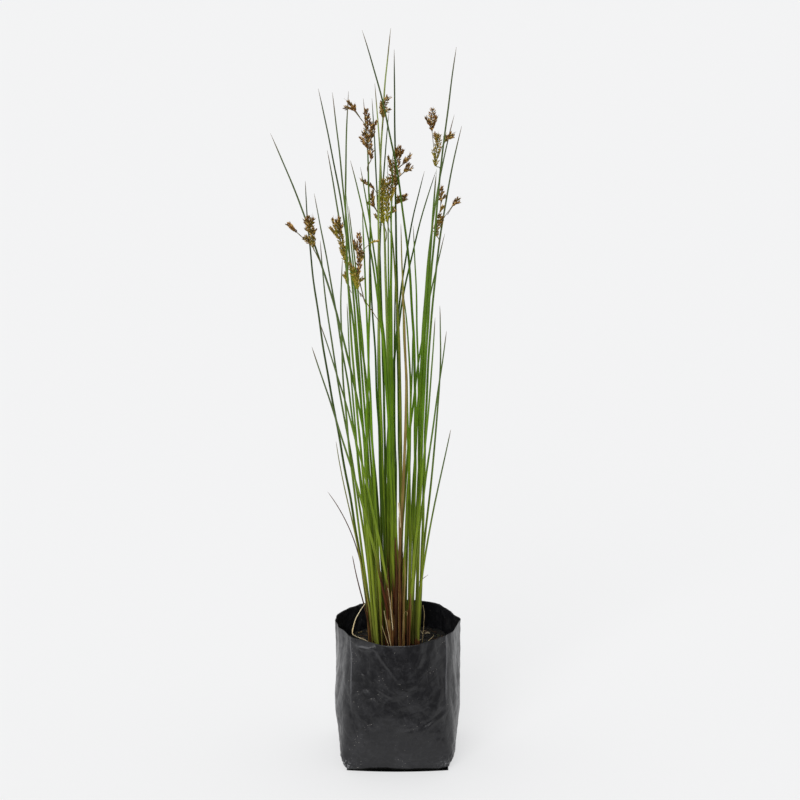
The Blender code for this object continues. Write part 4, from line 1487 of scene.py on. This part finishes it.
def floretRings(base, aim, length, wide, roll):
    # a narrow cup with three lobes that part into pointed teeth, square to its aim: the lobes are
    # a cosine of three times the angle, in the radius and in the height of the upper rings
    turn = evenTurns(flowers["sides"])
    lobes = np.cos(3 * turn)
    along = np.array([0.0, 0.16, 0.42, 0.70, 0.88])[:, None]
    along = along + np.array([0, 0, 0, 0.04, 0.14])[:, None] * lobes
    girth = np.array([0.35, 0.85, 1.0, 0.72, 0.36])[:, None] * (
        1 + np.array([0, 0.06, 0.16, 0.28, 0.34])[:, None] * lobes)
    across, beyond = sideways(aim)
    cosRoll, sinRoll = np.cos(roll)[:, None], np.sin(roll)[:, None]
    across, beyond = across * cosRoll + beyond * sinRoll, beyond * cosRoll - across * sinRoll
    around = np.cos(turn)[:, None] * across[:, None, :] + np.sin(turn)[:, None] * beyond[:, None, :]
    rings = base[:, None, None] + (length[:, None, None] * along)[..., None] * aim[:, None, None]
    rings = rings + (wide[:, None, None] * girth)[..., None] * around[:, None]
    poles = np.stack([base, base + 0.74 * length[:, None] * aim], 1)
    return rings, poles, along, lobes


def onSpike(path, t, turn):
    # the place and the direction at shares of a path's length, and a direction square to it
    run = lengthAlong(path[None])[0]
    slope = np.gradient(path, axis=0)
    place = np.stack([np.interp(t * run[-1], run, path[:, k]) for k in range(3)], -1)
    aim = unit(np.stack([np.interp(t * run[-1], run, slope[:, k]) for k in range(3)], -1))
    across, beyond = sideways(aim)
    return place, aim, np.cos(turn)[:, None] * across + np.sin(turn)[:, None] * beyond


def bractSkins(path, halfWidth, olive, dice):
    # thin pointed bracts between the florets: cones that lean out past them and bend upwards
    count = max(3, int(lengthAlong(path[None])[0, -1] / flowers["bractStep"]))
    t = (np.arange(count) + dice.random(count)) / count
    place, aim, out = onSpike(path, t, dice.uniform(0, fullTurn, count))
    lean = unit(aim + out * dice.uniform(0.35, 0.95, count)[:, None])
    reach = 0.55 * halfWidth + dice.uniform(*flowers["bractReach"], count)
    v = np.linspace(0, 1, 6)
    line = place[:, None] + v[:, None] * (reach[:, None] * lean)[:, None]
    line[..., 2] += 0.5 * v**2
    radius = np.broadcast_to(flowers["bractRadius"] * (1 - 0.88 * v**1.4), (count, len(v)))
    tones = dice.random(count)[:, None, None]
    return tube(line, radius, 5, tone=tones, olive=olive * 0.6, twig=0.0, rib=0.0, floretShare=v)


def spikeFlorets(path, halfWidth, olive, dice):
    # whorls of florets up the path, which lean out as far as the spike is wide there
    whorls = max(2, int(lengthAlong(path[None])[0, -1] / flowers["whorlStep"]))
    perWhorl = flowers["perWhorl"] if halfWidth > 2.2 else flowers["perWhorl"] - 1
    count = whorls * perWhorl
    order = np.arange(count)
    t = np.clip((order // perWhorl + dice.uniform(-0.45, 0.45, count) + 0.3) / whorls, 0, 1)
    turn = order * flowers["floretTurn"] + dice.uniform(-0.5, 0.5, count)
    place, aim, out = onSpike(path, t, turn)
    ragged = np.repeat(dice.uniform(0.72, 1.22, whorls), perWhorl)
    wide = 1.06 * halfWidth * ragged * (0.42 + 1.5 * t**0.7 * (1 - t) ** 0.55)
    length = dice.uniform(*flowers["length"], count)
    foot = 0.22 * wide
    sine = np.clip((wide - foot) / length, 0.12, 0.80)[:, None]
    lean = unit(aim * np.sqrt(1 - sine**2) + out * sine + (0, 0, 0.10))
    outwards = wide * (1 - dice.uniform(0.4, 1.0, count)) * 0.7 + foot
    base = place + out * outwards[:, None] - aim * (0.2 * length)[:, None]
    girth = dice.uniform(*flowers["halfWidth"], count)
    rings, poles, along, lobes = floretRings(base, lean, length, girth, dice.uniform(0, fullTurn, count))
    greener = np.clip(olive * (1.25 - 0.9 * t) + dice.uniform(-0.15, 0.15, count), 0, 1)
    return skin(
        rings, poles, along=np.repeat(length[:, None], 5, 1) * (0, 0.16, 0.42, 0.7, 0.9),
        tone=dice.uniform(0, 1, count)[:, None, None], olive=greener[:, None, None], twig=0.0,
        rib=np.clip(lobes, 0, 1)[None, None], floretShare=along[None],
    )


def twigSkin(path, olive, thick):
    # a tube that thins evenly to about half
    radius = thick * (1 - 0.45 * np.linspace(0, 1, len(path)))
    olive = np.clip(olive + 0.35, 0, 1)
    return tube(path, radius, 6, tone=0.4, olive=olive, twig=1.0, rib=0.0, floretShare=0.0)


def makeCluster(order, node):
    # each spike is a twig through its points with florets and bracts on its outer part, and the
    # first one starts inside the stem
    stemName, leavesAt, standOff, spikes = clusters[node]
    dice = np.random.default_rng(flowers["seed"] + order)
    axis = axes[stemName]
    onStem = pointOn(axis, np.array(float(leavesAt)))
    depth = onStem[1] - standOff
    bits = []
    for rank, (halfWidth, offset, olive, line) in enumerate(spikes):
        points = np.array([(x, depth + offset, z) for x, z in line], float)
        points[0, 1] = depth + offset * 0.4
        bare, thicker = 1, flowers["sideTwig"]
        if rank == 0:
            foot = pointOn(axis, np.array(leavesAt - flowers["twigDrop"]))
            points = np.vstack([foot, (points[0] + onStem) / 2, points[1:]])
            bare, thicker = 2, flowers["mainTwig"]
        steps = flowers["twigSteps"]
        path = curveThrough(points, steps * (len(points) - 1) + 1)
        path[:, 1] += 0.5 * waves(path / 12, 1, 400 + rank, 4)
        bits.append(twigSkin(path, olive, flowers["twigRadius"] * thicker))
        bits.append(spikeFlorets(path[bare * steps:], halfWidth, olive, dice))
        bits.append(bractSkins(path[bare * steps:], halfWidth, olive, dice))
    makePiece("blooms_" + node, bits, flowerMaterial, "flower", node)


for order, node in enumerate(clusters):
    makeCluster(order, node)
print("flower clusters made:", len(clusters))
